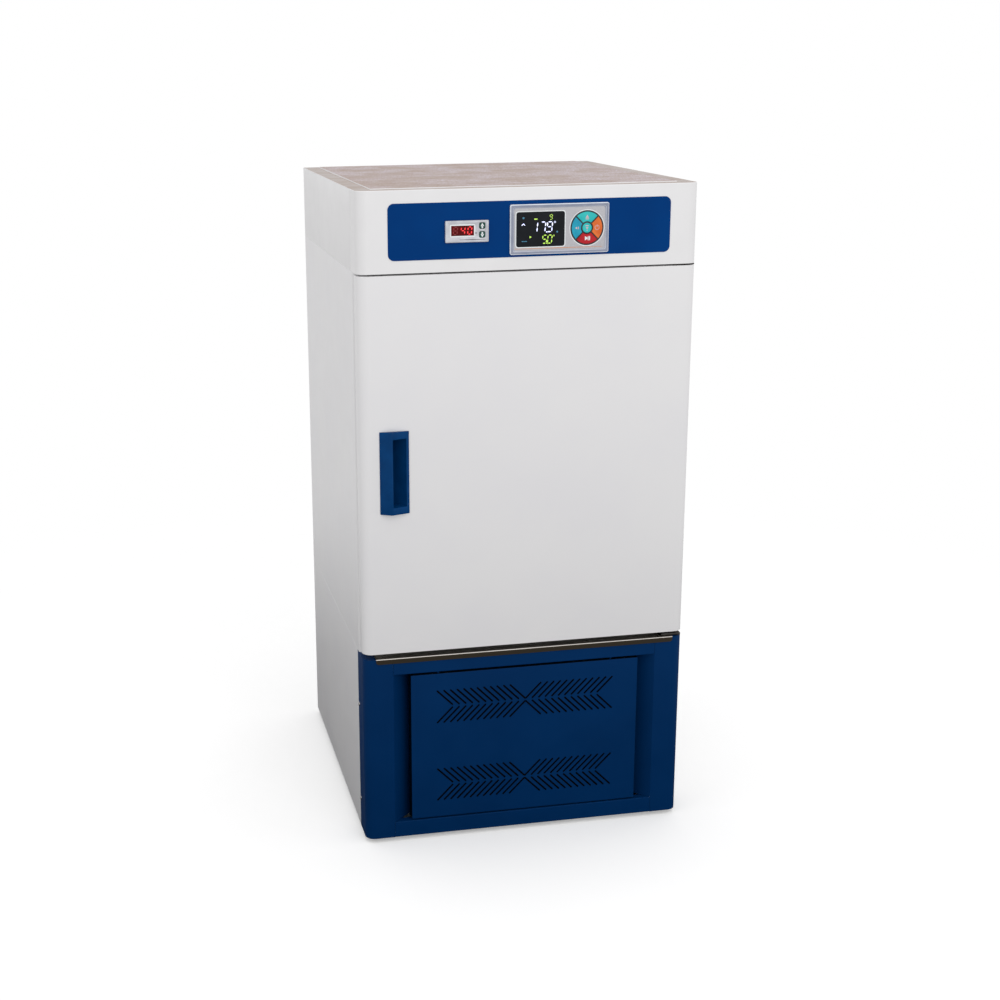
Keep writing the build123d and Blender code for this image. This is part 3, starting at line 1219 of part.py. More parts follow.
def refrigerant_pipes():
    """Copper circuit: discharge, liquid line with its drier, and suction line."""
    top = COMPRESSOR_LOW + 100.0
    suction_x = PIPE_X + PIPE_SPACING
    suction = tube([(suction_x, PIPE_Y, COIL_LOW), (suction_x, PIPE_Y, BASE_TOP - 40),
                    (COMPRESSOR_X, PIPE_Y, BASE_TOP - 40), (COMPRESSOR_X, PIPE_Y, top),
                    (COMPRESSOR_X, COMPRESSOR_Y + COMPRESSOR_RADIUS, top)], PIPE_RADIUS, 16)
    side_x = CONDENSER_SPAN[1]
    discharge = tube([(COMPRESSOR_X, COMPRESSOR_Y - COMPRESSOR_RADIUS, top),
                      (COMPRESSOR_X, CONDENSER_Y[0] + 22, top),
                      (side_x, CONDENSER_Y[0] + 22, top)], THIN_PIPE_RADIUS, 20)
    low = CONDENSER_Z[0] + 40
    liquid = tube([(CONDENSER_SPAN[0], CONDENSER_Y[0] + 22, low),
                   (CONDENSER_SPAN[0] - 34, CONDENSER_Y[0] + 22, low),
                   (CONDENSER_SPAN[0] - 34, PIPE_Y - 60, low),
                   (CONDENSER_SPAN[0] - 34, PIPE_Y - 60, BASE_TOP - 70),
                   (PIPE_X, PIPE_Y - 60, BASE_TOP - 70),
                   (PIPE_X, PIPE_Y, BASE_TOP - 70), (PIPE_X, PIPE_Y, COIL_LOW)], THIN_PIPE_RADIUS, 16)
    drier_y = (CONDENSER_Y[1] + 60, CONDENSER_Y[1] + 150)
    drier = rod(11, (CONDENSER_SPAN[0] - 34, drier_y[0], low),
                (CONDENSER_SPAN[0] - 34, drier_y[1], low))
    return group([suction, discharge, liquid + drier])


def evaporation_tray():
    x = (LEFT + 70, LEFT + 200)
    y = (REAR - 190, REAR - 60)
    tray = block(x, y, (PAN_TOP, PAN_TOP + 30))
    tray = fillet(tray.edges().filter_by(Axis.Z), 10)
    hollow = block(grown(x, -2), grown(y, -2), (PAN_TOP + 2, PAN_TOP + 30))
    return tray - fillet(hollow.edges().filter_by(Axis.Z), 8)


parts["compressor_mounts"] = compressor_mounts()
parts["compressor"] = compressor()
parts["condenser"] = condenser()
parts["condenser_fan_shroud"] = condenser_fan_shroud()
parts["condenser_fan_blade"] = condenser_fan_blade()
parts["refrigerant_pipes"] = refrigerant_pipes()
parts["evaporation_tray"] = evaporation_tray()


# --- visible screws -------------------------------------------------------------------
SCREW_SETBACK = 52.0
SCREW_RADIUS = 3.4
SCREW_HEAD = 1.6
SCREW_ROUND = 1.2
SCREW_HEIGHTS = (55.0, 231.0)


def panel_screws():
    """Pan-head screws that hold the posts to the side panels, two on each side."""
    pieces = []
    for height in SCREW_HEIGHTS:
        centre = (LEFT - SCREW_HEAD, FRONT + SCREW_SETBACK, BASE_LOW + height)
        head = rod(SCREW_RADIUS, centre, (LEFT, centre[1], centre[2]))
        pieces.append(fillet(head.edges().sort_by(Axis.X)[0], SCREW_ROUND))
    return mirrored(group(pieces))


parts["panel_screws"] = panel_screws()

os.makedirs("parts", exist_ok=True)
for node, shape in parts.items():
    export_step(shape, f"parts/{node}.step")
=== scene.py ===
import json
import math

import bmesh
import bpy
from mathutils import Matrix, Vector


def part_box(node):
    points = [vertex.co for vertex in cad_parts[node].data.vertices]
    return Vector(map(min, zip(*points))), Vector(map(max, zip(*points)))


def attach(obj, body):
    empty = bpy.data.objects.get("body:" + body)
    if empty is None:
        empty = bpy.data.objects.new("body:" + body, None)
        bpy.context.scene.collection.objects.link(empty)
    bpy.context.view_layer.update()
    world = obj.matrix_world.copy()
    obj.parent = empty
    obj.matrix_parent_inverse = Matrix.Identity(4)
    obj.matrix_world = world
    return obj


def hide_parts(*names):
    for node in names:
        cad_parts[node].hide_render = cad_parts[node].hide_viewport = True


# A cooled laboratory incubator: white powder-coated case, blue base, cooled chamber behind
# one door. Everything is in metres in the frame of the CAD model, -Y is the front.

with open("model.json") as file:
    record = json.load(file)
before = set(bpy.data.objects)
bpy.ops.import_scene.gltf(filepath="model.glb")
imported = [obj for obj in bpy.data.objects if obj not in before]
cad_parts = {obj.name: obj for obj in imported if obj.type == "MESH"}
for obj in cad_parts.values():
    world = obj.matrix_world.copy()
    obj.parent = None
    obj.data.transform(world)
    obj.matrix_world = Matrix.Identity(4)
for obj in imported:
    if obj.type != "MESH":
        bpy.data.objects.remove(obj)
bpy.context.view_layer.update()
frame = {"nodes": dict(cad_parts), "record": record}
nodes = frame["nodes"]

MM = 0.001
SAME = 1e-6
QUARTER = math.pi / 2


# --- selecting and shaping -----------------------------------------------------
def alone(piece):
    """Leaves one piece selected and active, in object mode."""
    if bpy.context.mode != "OBJECT":
        bpy.ops.object.mode_set(mode="OBJECT")
    bpy.ops.object.select_all(action="DESELECT")
    piece.select_set(True)
    bpy.context.view_layer.objects.active = piece


def clear_selection():
    if bpy.context.mode != "OBJECT":
        bpy.ops.object.mode_set(mode="OBJECT")
    bpy.ops.object.select_all(action="DESELECT")


def edit(piece, kind="FACE"):
    """Opens a piece in edit mode with nothing selected."""
    alone(piece)
    bpy.ops.object.mode_set(mode="EDIT")
    bpy.ops.mesh.select_mode(type=kind)
    bpy.ops.mesh.select_all(action="DESELECT")


def leave_edit():
    bpy.ops.object.mode_set(mode="OBJECT")


def pick_faces(rule):
    """Selects the faces whose centre and normal meet a rule, and no others."""
    bpy.ops.mesh.select_all(action="DESELECT")
    shape = bmesh.from_edit_mesh(bpy.context.edit_object.data)
    for face in shape.faces:
        if rule(face.calc_center_median(), face.normal):
            face.select_set(True)
    bmesh.update_edit_mesh(bpy.context.edit_object.data)


def pick_edges(rule):
    """Selects the edges whose two ends meet a rule, and no others."""
    bpy.ops.mesh.select_all(action="DESELECT")
    shape = bmesh.from_edit_mesh(bpy.context.edit_object.data)
    for line in shape.edges:
        if rule(line.verts[0].co, line.verts[1].co):
            line.select_set(True)
    bmesh.update_edit_mesh(bpy.context.edit_object.data)


def runs_backwards(start, end):
    """Whether an edge runs from front to back."""
    return abs(start.x - end.x) < SAME and abs(start.z - end.z) < SAME


def pick_points(rule):
    """Selects the points that meet a rule, and no others."""
    bpy.ops.mesh.select_all(action="DESELECT")
    shape = bmesh.from_edit_mesh(bpy.context.edit_object.data)
    for point in shape.verts:
        if rule(point.co):
            point.select_set(True)
    bmesh.update_edit_mesh(bpy.context.edit_object.data)


def named(name):
    """Names the primitive that was just added and settles its place into its mesh."""
    piece = bpy.context.object
    piece.name = name
    piece.data.name = name
    bpy.ops.object.transform_apply(location=True, rotation=True, scale=True)
    return piece


def cuboid(name, x, y, z):
    """A block between three (low, high) pairs, the start of a flat or folded piece."""
    clear_selection()
    centre = [(low + high) / 2 for low, high in (x, y, z)]
    size = [high - low for low, high in (x, y, z)]
    bpy.ops.mesh.primitive_cube_add(size=1, location=centre, scale=size)
    return named(name)


def apply_modifier(piece, kind, **settings):
    alone(piece)
    modifier = piece.modifiers.new(kind.lower(), kind)
    for key, value in settings.items():
        setattr(modifier, key, value)
    bpy.ops.object.modifier_apply(modifier=modifier.name)


def rounded_over(piece, width, segments=2, angle=35):
    """Rounds the sharp edges of a piece and smooths its curved faces."""
    apply_modifier(piece, "BEVEL", width=width, segments=segments, limit_method="ANGLE",
                   angle_limit=math.radians(angle))
    alone(piece)
    bpy.ops.object.shade_smooth_by_angle(angle=math.radians(angle))
    return piece


def plate(name, x, y, z, corner, edge):
    """A thin plate that faces the front, with rounded corners and a softened front edge."""
    piece = cuboid(name, x, y, z)
    edit(piece, "EDGE")
    pick_edges(runs_backwards)
    bpy.ops.mesh.bevel(offset=corner, segments=6)
    pick_faces(lambda centre, normal: normal.y < -0.9)
    bpy.ops.mesh.region_to_loop()
    bpy.ops.mesh.bevel(offset=edge, segments=2)
    leave_edit()
    alone(piece)
    bpy.ops.object.shade_smooth_by_angle(angle=math.radians(35))
    return piece


def joined(name, pieces):
    """Several pieces as one mesh."""
    alone(pieces[0])
    for piece in pieces:
        piece.select_set(True)
    bpy.ops.object.join()
    pieces[0].name = name
    pieces[0].data.name = name
    return pieces[0]


def copy_at(piece, name, place):
    """A copy with its own mesh, moved by a matrix that ends up in the mesh."""
    twin = piece.copy()
    twin.data = piece.data.copy()
    twin.name = name
    twin.data.name = name
    bpy.context.scene.collection.objects.link(twin)
    twin.matrix_world = place
    alone(twin)
    bpy.ops.object.transform_apply(location=True, rotation=True, scale=True)
    return twin


def remove(piece):
    bpy.data.objects.remove(piece, do_unlink=True)


def finished(piece, body, material):
    """Gives a piece its finish and the body that it rides on."""
    piece.data.materials.clear()
    piece.data.materials.append(material)
    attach(piece, body)
    return piece


def softened(node, width, segments=2):
    """A merged copy of a CAD piece with its sharp edges rounded over; it stands for that piece."""
    source = nodes[node]
    piece = bpy.data.objects.new(node + "_soft", source.data.copy())
    bpy.context.scene.collection.objects.link(piece)
    edit(piece)
    bpy.ops.mesh.select_all(action="SELECT")
    bpy.ops.mesh.remove_doubles(threshold=2e-6)
    bpy.ops.mesh.dissolve_limited(angle_limit=math.radians(0.5))
    leave_edit()
    rounded_over(piece, width, segments)
    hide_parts(node)
    return piece


# --- finishes --------------------------------------------------------------------
def tone(red, green, blue):
    """A display colour of 0 to 255 as the shader's linear colour."""
    def linear(value):
        value = value / 255
        return value / 12.92 if value <= 0.04045 else ((value + 0.055) / 1.055) ** 2.4
    return (linear(red), linear(green), linear(blue), 1.0)


class Finish:
    """A principled shader with layers of procedural detail on object coordinates."""

    def __init__(self, name, roughness=0.5, metallic=0.0):
        self.material = bpy.data.materials.new(name)
        self.material.use_nodes = True
        self.tree = self.material.node_tree
        self.shader = self.tree.nodes["Principled BSDF"]
        self.shader.inputs["Roughness"].default_value = roughness
        self.shader.inputs["Metallic"].default_value = metallic
        self.coordinates = self.add("ShaderNodeTexCoord")
        self.last_bump = None

    def add(self, kind):
        return self.tree.nodes.new(kind)

    def link(self, source, target):
        self.tree.links.new(source, target)

    def set(self, **values):
        """Constant values of the shader's own sockets; underscores stand for spaces."""
        for key, value in values.items():
            self.shader.inputs[key.replace("_", " ")].default_value = value
        return self

    def place(self, stretch, turn=(0, 0, 0)):
        mapping = self.add("ShaderNodeMapping")
        mapping.inputs["Scale"].default_value = stretch
        mapping.inputs["Rotation"].default_value = turn
        self.link(self.coordinates.outputs["Object"], mapping.inputs["Vector"])
        return mapping.outputs["Vector"]

    def noise(self, size, detail=2.0, stretch=(1, 1, 1), roughness=0.5):
        """Soft random patches about as large as size, in metres."""
        node = self.add("ShaderNodeTexNoise")
        node.inputs["Scale"].default_value = 1 / size
        node.inputs["Detail"].default_value = detail
        node.inputs["Roughness"].default_value = roughness
        self.link(self.place(stretch), node.inputs["Vector"])
        return node.outputs[0]

    def cells(self, size, stretch=(1, 1, 1), feature="F1"):
        """Distance inside random cells about as large as size, in metres."""
        node = self.add("ShaderNodeTexVoronoi")
        node.feature = feature
        node.inputs["Scale"].default_value = 1 / size
        self.link(self.place(stretch), node.inputs["Vector"])
        return node.outputs["Distance"]

    def cell_tints(self, size):
        """One random grey for each cell."""
        node = self.add("ShaderNodeTexVoronoi")
        node.inputs["Scale"].default_value = 1 / size
        self.link(self.place((1, 1, 1)), node.inputs["Vector"])
        grey = self.add("ShaderNodeRGBToBW")
        self.link(node.outputs["Color"], grey.inputs["Color"])
        return grey.outputs["Val"]

    def facing(self, axis, low, high):
        """How far the surface faces along one axis of the piece, from 0 to 1."""
        split = self.add("ShaderNodeSeparateXYZ")
        self.link(self.coordinates.outputs["Normal"], split.inputs["Vector"])
        return self.spread(split.outputs[axis], (low, high), (0.0, 1.0))

    def spread(self, source, span, result):
        """Maps a span of a value onto another span."""
        node = self.add("ShaderNodeMapRange")
        for key, value in zip(("From Min", "From Max", "To Min", "To Max"), (*span, *result)):
            node.inputs[key].default_value = value
        self.link(source, node.inputs["Value"])
        return node.outputs["Result"]

    def ramp(self, source, *stops):
        """A colour ramp from (position, colour) stops."""
        node = self.add("ShaderNodeValToRGB")
        band = node.color_ramp
        while len(band.elements) < len(stops):
            band.elements.new(0.5)
        for element, (position, colour) in zip(band.elements, stops):
            element.position = position
            element.color = colour
        self.link(source, node.inputs["Fac"])
        return node.outputs["Color"]

    def blend(self, factor, first, second):
        """Mixes two colours by a factor."""
        node = self.add("ShaderNodeMix")
        node.data_type = "RGBA"
        self.link(factor, node.inputs[0])
        self.link(first, node.inputs[6])
        self.link(second, node.inputs[7])
        return node.outputs[2]

    def colour(self, source):
        self.link(source, self.shader.inputs["Base Color"])
        return self

    def gloss(self, source, low, high):
        """Lets the roughness wander between two values."""
        self.link(self.spread(source, (0.3, 0.7), (low, high)), self.shader.inputs["Roughness"])
        return self

    def relief(self, source, depth, strength=1.0):
        """A bump as deep as depth, in metres; later bumps add to earlier ones."""
        node = self.add("ShaderNodeBump")
        node.inputs["Distance"].default_value = depth
        node.inputs["Strength"].default_value = strength
        self.link(source, node.inputs["Height"])
        if self.last_bump:
            self.link(self.last_bump, node.inputs["Normal"])
        self.last_bump = node.outputs["Normal"]
        self.link(self.last_bump, self.shader.inputs["Normal"])
        return self

    def glow(self, source, strength):
        self.link(source, self.shader.inputs["Emission Color"])
        self.shader.inputs["Emission Strength"].default_value = strength
        return self


def powder_coat(name, dark, light, rough, peel=1.0):
    """Baked powder paint: faint cloudiness and a fine orange peel with a finer grain on it."""
    paint = Finish(name)
    clouds = paint.noise(0.12, detail=3)
    paint.colour(paint.ramp(clouds, (0.35, dark), (0.65, light)))
    paint.gloss(paint.noise(0.03), rough - 0.05, rough + 0.06)
    paint.relief(paint.noise(0.0022, detail=1), 0.00003 * peel, 0.6)
    paint.relief(paint.noise(0.0007, detail=1), 0.00001 * peel, 0.5)
    paint.set(Coat_Weight=0.12, Coat_Roughness=0.3)
    return paint


def white_paint():
    paint = powder_coat("white_powder_coat", tone(230, 229, 231), tone(232, 231, 232), 0.4)
    return paint.material


def lid_paint():
    """Hammered warm grey with pale lilac flecks and pale edges: the warm grey is a painted
    reflection of warm surroundings, and the pale edges are a painted highlight.
    """
    paint = Finish("hammered_lid_paint")
    patches = paint.noise(0.06, detail=4)
    flecks = paint.noise(0.003, detail=3)
    # The warm grey and its patches are a painted reflection of warm surroundings in the white
    # paint.
    ground = paint.ramp(patches, (0.38, tone(172, 146, 132)), (0.62, tone(184, 162, 156)))
    pale = paint.ramp(patches, (0.4, tone(190, 170, 164)), (0.6, tone(214, 204, 216)))
    top = paint.blend(paint.spread(flecks, (0.48, 0.6), (0.0, 1.0)), ground, pale)
    # Painted highlight: faces that don't face up, such as the lid's edges, are near white as if
    # catching the light.
    edge = paint.ramp(patches, (0.4, tone(248, 248, 250)), (0.6, tone(252, 252, 254)))
    paint.colour(paint.blend(paint.facing("Z", 0.9, 0.97), edge, top))
    paint.gloss(paint.noise(0.02), 0.38, 0.52)
    paint.relief(paint.cells(0.005, feature="SMOOTH_F1"), 0.0001, 0.4)
    paint.relief(flecks, 0.00005, 0.5)
    return paint.material


def head_paint():
    """White powder coat, with a painted highlight along the top folds and a painted warm
    reflection, like the lid's warm grey, on top.
    """
    paint = powder_coat("white_powder_coat_head", tone(230, 229, 231), tone(232, 231, 232), 0.4)
    patches = paint.noise(0.05, detail=4)
    white = paint.ramp(patches, (0.35, tone(230, 229, 230)), (0.65, tone(232, 231, 232)))
    # Painted highlight: near white on faces that tilt upwards, such as the top folds.
    edge = paint.ramp(patches, (0.4, tone(248, 248, 250)), (0.6, tone(252, 252, 254)))
    # Painted reflection: warm grey on the faces that face up.
    warm = paint.ramp(patches, (0.4, tone(178, 160, 150)), (0.62, tone(190, 178, 173)))
    sides = paint.blend(paint.facing("Z", 0.1, 0.4), white, edge)
    paint.colour(paint.blend(paint.facing("Z", 0.9, 0.97), sides, warm))
    return paint.material


def blue_paint():
    paint = powder_coat("blue_powder_coat", tone(0, 45, 92), tone(0, 48, 97), 0.42)
    paint.set(Coat_Weight=0.0, Specular_IOR_Level=0.06)
    return paint.material


def grille_paint():
    """The base's blue on the front, and near black painted shade on the walls of the slots and on
    other faces that don't face the front.
    """
    paint = powder_coat("blue_powder_coat_grille", tone(0, 45, 92), tone(0, 48, 97), 0.42)
    patches = paint.noise(0.12, detail=3)
    front = paint.ramp(patches, (0.35, tone(0, 45, 92)), (0.65, tone(0, 48, 97)))
    # Painted shade: near black where the slots' walls and the folded rim sit in shadow.
    painted_slot_shade = paint.ramp(patches, (0.35, tone(0, 12, 26)), (0.65, tone(0, 15, 31)))
    paint.colour(paint.blend(paint.facing("Y", -0.9, -0.5), front, painted_slot_shade))
    paint.set(Coat_Weight=0.0, Specular_IOR_Level=0.06)
    return paint.material


def fascia_film():
    """Printed polyester film with a fine velvet grain."""
    film = Finish("blue_fascia_film", 0.42)
    film.colour(film.ramp(film.noise(0.08), (0.35, tone(0, 54, 116)), (0.65, tone(0, 58, 122))))
    film.relief(film.noise(0.0006, detail=1), 0.00001, 0.6)
    film.gloss(film.noise(0.02), 0.36, 0.46)
    film.set(Specular_IOR_Level=0.03)
    return film.material


def moulded(name, dark, light, rough, grain=0.0009, depth=0.00002):
    """Injection-moulded plastic with a spark-eroded grain."""
    plastic = Finish(name)
    plastic.colour(plastic.ramp(plastic.noise(0.02), (0.35, dark), (0.65, light)))
    plastic.gloss(plastic.noise(0.008), rough - 0.05, rough + 0.07)
    plastic.relief(plastic.noise(grain, detail=1), depth, 0.5)
    return plastic


def bezel_plastic():
    """Silver moulding: a blue-grey front, with a painted highlight that makes its rounded edges
    pale.
    """
    plastic = Finish("silver_bezel_rim")
    clouds = plastic.noise(0.02)
    front = plastic.ramp(clouds, (0.35, tone(130, 136, 156)), (0.65, tone(144, 149, 168)))
    # Painted highlight: near white on every face that doesn't face the front.
    edge = plastic.ramp(clouds, (0.35, tone(232, 238, 246)), (0.65, tone(242, 246, 252)))
    plastic.colour(plastic.blend(plastic.facing("Y", -0.99, -0.92), front, edge))
    plastic.gloss(plastic.noise(0.008), 0.3, 0.42)
    plastic.relief(plastic.noise(0.0006, detail=1), 0.00002, 0.5)
    return plastic.material


def brushed(name, dark, light, rough, stretch, size=0.05):
    """Sheet metal with a brushed grain that runs along the unstretched axis."""
    metal = Finish(name, rough, 1.0)
    grain = metal.noise(size, detail=6, stretch=stretch, roughness=0.7)
    metal.colour(metal.ramp(grain, (0.3, dark), (0.7, light)))
    metal.gloss(grain, rough - 0.07, rough + 0.09)
    metal.relief(grain, 0.00002, 0.4)
    return metal


def sill_steel():
    """Brushed plate: darkened on top as a painted reflection of the dark gap, with a painted
    highlight along its fold and painted brown shade on the lip below.
    """
    steel = brushed("brushed_sill", tone(92, 84, 76), tone(132, 124, 114), 0.34, (1, 60, 60))
    # Painted light by how far each face points up: brown shade on the lip, a bright highlight on
    # the fold, a darker reflection on top.
    steel.colour(steel.ramp(steel.facing("Z", 0.0, 1.0), (0.3, tone(70, 63, 54)),
                            (0.42, tone(206, 201, 196)), (0.8, tone(206, 201, 196)),
                            (0.95, tone(136, 132, 124))))
    return steel.material


def bare_metal(name, dark, light, rough, size=0.01):
    """Turned, drawn or cast metal with slight tarnish."""
    metal = Finish(name, rough, 1.0)
    tarnish = metal.noise(size, detail=4)
    metal.colour(metal.ramp(tarnish, (0.3, dark), (0.7, light)))
    metal.gloss(tarnish, rough - 0.06, rough + 0.1)
    metal.relief(metal.noise(size / 12, detail=1), 0.000015, 0.4)
    return metal


def galvanised():
    """Zinc-coated sheet with its spangle."""
    zinc = Finish("galvanised_sheet", 0.42, 1.0)
    spangle = zinc.cell_tints(0.012)
    zinc.colour(zinc.ramp(spangle, (0.2, tone(142, 147, 150)), (0.8, tone(192, 196, 198))))
    zinc.gloss(spangle, 0.3, 0.55)
    zinc.relief(zinc.noise(0.004), 0.00002, 0.4)
    return zinc.material


def rubber(name, dark, light, rough=0.68):
    """Moulded rubber with a dusty bloom."""
    skin = Finish(name)
    bloom = skin.noise(0.012, detail=5)
    skin.colour(skin.ramp(bloom, (0.35, dark), (0.7, light)))
    skin.gloss(bloom, rough - 0.08, rough + 0.1)
    skin.relief(skin.noise(0.0012, detail=2), 0.00003, 0.5)
    return skin.material


def foam():
    """Rigid urethane foam with its pores."""
    block = Finish("urethane_foam", 0.9)
    pores = block.cells(0.0016)
    block.colour(block.ramp(pores, (0.1, tone(196, 170, 116)), (0.6, tone(228, 206, 152))))
    block.relief(pores, 0.0004, 0.7)
    return block.material


def shade_mat_foam():
    """Open-pored black foam for the dark mat that stands in for shade behind the grille."""
    mat = Finish("shade_mat_foam", 0.95)
    pores = mat.cells(0.0012)
    mat.colour(mat.ramp(pores, (0.1, tone(4, 4, 5)), (0.6, tone(12, 12, 13))))
    mat.relief(pores, 0.0003, 0.6)
    mat.set(Specular_IOR_Level=0.1)
    return mat.material


def circuit_board():
    """Green solder resist with the faint lines of its tracks."""
    board = Finish("board_resist", 0.35)
    tracks = board.cells(0.004, stretch=(1, 0.25, 1), feature="DISTANCE_TO_EDGE")
    board.colour(board.ramp(tracks, (0.04, tone(24, 96, 60)), (0.10, tone(12, 66, 40))))
    board.relief(tracks, 0.00004, 0.4)
    board.set(Coat_Weight=0.4, Coat_Roughness=0.15)
    return board.material


def display_glass(name, dark, light):
    """Smoked acrylic window: glossy, with a faint cloud behind it."""
    glass = Finish(name, 0.1)
    glass.colour(glass.ramp(glass.noise(0.03), (0.35, dark), (0.65, light)))
    glass.gloss(glass.noise(0.01), 0.06, 0.12)
    glass.set(Specular_IOR_Level=0.12)
    return glass


def lit(name, dim, bright, strength):
    """A lit display segment with a slightly uneven brightness."""
    light = Finish(name, 0.4)
    glow = light.ramp(light.noise(0.002), (0.3, dim), (0.7, bright))
    light.colour(glow)
    light.glow(glow, strength)
    return light.material


def printed(name, dark, light):
    """Screen-printed ink."""
    ink = Finish(name, 0.5)
    ink.colour(ink.ramp(ink.noise(0.0015, detail=3), (0.3, dark), (0.7, light)))
    ink.relief(ink.noise(0.0004), 0.000006, 0.5)
    return ink.material


def key_plastic(name, deep, pale):
    """Soft-touch key plastic in one colour, with soft patches from deep to pale."""
    key = moulded(name, deep, pale, 0.32, grain=0.0005, depth=0.000008)
    key.set(Specular_IOR_Level=0.2)
    return key.material


FINISHES = {
    "white_paint": white_paint(),
    "head_paint": head_paint(),
    "lid_paint": lid_paint(),
    "blue_paint": blue_paint(),
    "grille_paint": grille_paint(),
    "blue_overlay": fascia_film(),
    "blue_plastic": moulded("blue_grip_plastic", tone(0, 54, 104), tone(2, 60, 113),
                            0.4).set(Specular_IOR_Level=0.08).material,
    "white_plastic": moulded("white_liner_plastic", tone(229, 229, 227), tone(231, 231, 229),
                             0.34).material,
    "black_plastic": moulded("black_plastic", tone(24, 25, 27), tone(34, 35, 38), 0.42).material,
    "silver_plastic": moulded("silver_bezel_plastic", tone(176, 176, 182), tone(196, 197, 203),
                              0.36, grain=0.0006).set(Metallic=0.25).material,
    "bezel_plastic": bezel_plastic(),
    "stainless": brushed("brushed_stainless", tone(160, 160, 158), tone(196, 196, 194), 0.28,
                         (1, 60, 60)).material,
    "stainless_upright": brushed("brushed_stainless_upright", tone(158, 158, 156),
                                 tone(192, 192, 190), 0.3, (60, 60, 1)).material,
    "sill_steel": sill_steel(),
    "galvanised": galvanised(),
    "steel": bare_metal("polished_steel", tone(176, 176, 176), tone(206, 206, 206), 0.2).material,
    "dark_steel": bare_metal("blackened_steel", tone(58, 56, 54), tone(86, 84, 82), 0.34).material,
    "brass": bare_metal("brass", tone(178, 140, 66), tone(214, 180, 104), 0.26).material,
    "copper": bare_metal("drawn_copper", tone(164, 88, 56), tone(212, 134, 94), 0.3).material,
    "aluminium": brushed("aluminium_fins", tone(168, 170, 174), tone(204, 206, 210), 0.36,
                         (40, 40, 4)).material,
    # Near black enamel for the condenser and its fan shroud: a finish condensers often have, made
    # this dark also as painted shade for the inside of the base seen through the grille.
    "fin_enamel": powder_coat("fin_enamel", tone(20, 20, 21), tone(30, 30, 31), 0.5).material,
    "compressor_black": powder_coat("compressor_enamel", tone(14, 14, 15), tone(22, 22, 24),
                                    0.3, peel=3.0).material,
    "rubber": rubber("black_rubber", tone(22, 22, 22), tone(42, 42, 41)),
    "gasket_grey": rubber("gasket_grey", tone(150, 151, 152), tone(172, 172, 172), 0.55),
    "foam": foam(),
    "shade_mat_foam": shade_mat_foam(),
    "board_green": circuit_board(),
    "display_black": display_glass("smoked_window", tone(20, 22, 26), tone(27, 30, 35)).material,
    "display_red": display_glass("red_window", tone(84, 6, 8), tone(104, 9, 12)).material,
    "key_teal": key_plastic("teal_key", tone(30, 176, 178), tone(58, 196, 194)),
    "key_blue": key_plastic("blue_key", tone(14, 148, 178), tone(44, 170, 196)),
    "key_orange": key_plastic("orange_key", tone(214, 98, 38), tone(236, 126, 58)),
    "key_red": key_plastic("red_key", tone(168, 14, 26), tone(194, 26, 36)),
    "key_green": key_plastic("dark_green_key", tone(14, 60, 52), tone(26, 82, 72)),
    "white_light": lit("white_segments", tone(196, 204, 250), tone(232, 236, 255), 0.9),
    "lime_light": lit("lime_segments", tone(150, 196, 60), tone(190, 226, 96), 0.75),
    "dim_light": lit("dim_icons", tone(28, 84, 112), tone(52, 122, 150), 0.35),
    "red_light": lit("red_segments", tone(214, 24, 34), tone(246, 52, 58), 0.8),
    # The unlit segments glow faintly, which is painted light.
    "red_ghost": lit("unlit_segments", tone(112, 12, 16), tone(132, 20, 24), 0.12),
    "white_ink": printed("white_print", tone(222, 228, 230), tone(242, 244, 246)),
    "pale_ink": printed("pale_print", tone(196, 160, 170), tone(222, 196, 200)),
    "dark_ink": printed("dark_print", tone(52, 48, 54), tone(72, 68, 74)),
    "face_print": printed("grey_face_print", tone(178, 177, 182), tone(190, 189, 194)),
    "copper_ink": printed("copper_print", tone(196, 138, 110), tone(214, 164, 138)),
}

SPECIAL = {
    "front_grille": "grille_paint",
    "controller_bezel": "bezel_plastic",
    # The condenser and its fan shroud are near black, partly as painted shade inside the base.
    "condenser": "fin_enamel", "condenser_fan_shroud": "fin_enamel",
    "sill_plate": "sill_steel", "hinge_brackets": "dark_steel",
    "top_lid": "lid_paint", "head_shell": "head_paint", "head_front_panel": "head_paint",
    "shelf_supports": "stainless_upright", "duct_panel": "stainless_upright",
}


def dress_nodes():
    """Every CAD node takes the finish of its slot in the record."""
    slots = {part["node"]: part["material_slot"] for part in frame["record"]["subparts"]}
    for name, piece in nodes.items():
        piece.data.materials.clear()
        piece.data.materials.append(FINISHES[SPECIAL.get(name, slots[name])])


dress_nodes()


# --- softened trim ------------------------------------------------------------------
SOFT_TRIM = (
    ("door_handle", "door", "blue_plastic", 0.7),
    ("controller_bezel", "cabinet", "silver_plastic", 0.3),
    ("thermostat_case", "cabinet", "silver_plastic", 0.25),
    ("power_switch_housing", "cabinet", "black_plastic", 0.4),
    ("power_switch_rocker", "power_rocker", "black_plastic", 0.4),
    ("mains_inlet", "cabinet", "black_plastic", 0.35),
    ("hinge_brackets", "cabinet", "steel", 0.5),
    ("controller_housing", "cabinet", "black_plastic", 0.12),
    ("head_shell", "cabinet", "white_paint", 0.8),
)


def soften_trim():
    """Moulded and pressed trim catches the light along its edges, so it is rounded over."""
    for node, body, slot, width in SOFT_TRIM:
        finished(softened(node, width * MM), body, FINISHES[SPECIAL.get(node, slot)])


soften_trim()


# --- dark mat behind the grille, painted shade ----------------------------------------
MAT_MARGIN = 5.0 * MM
MAT_SPAN = (5.0 * MM, 9.0 * MM)


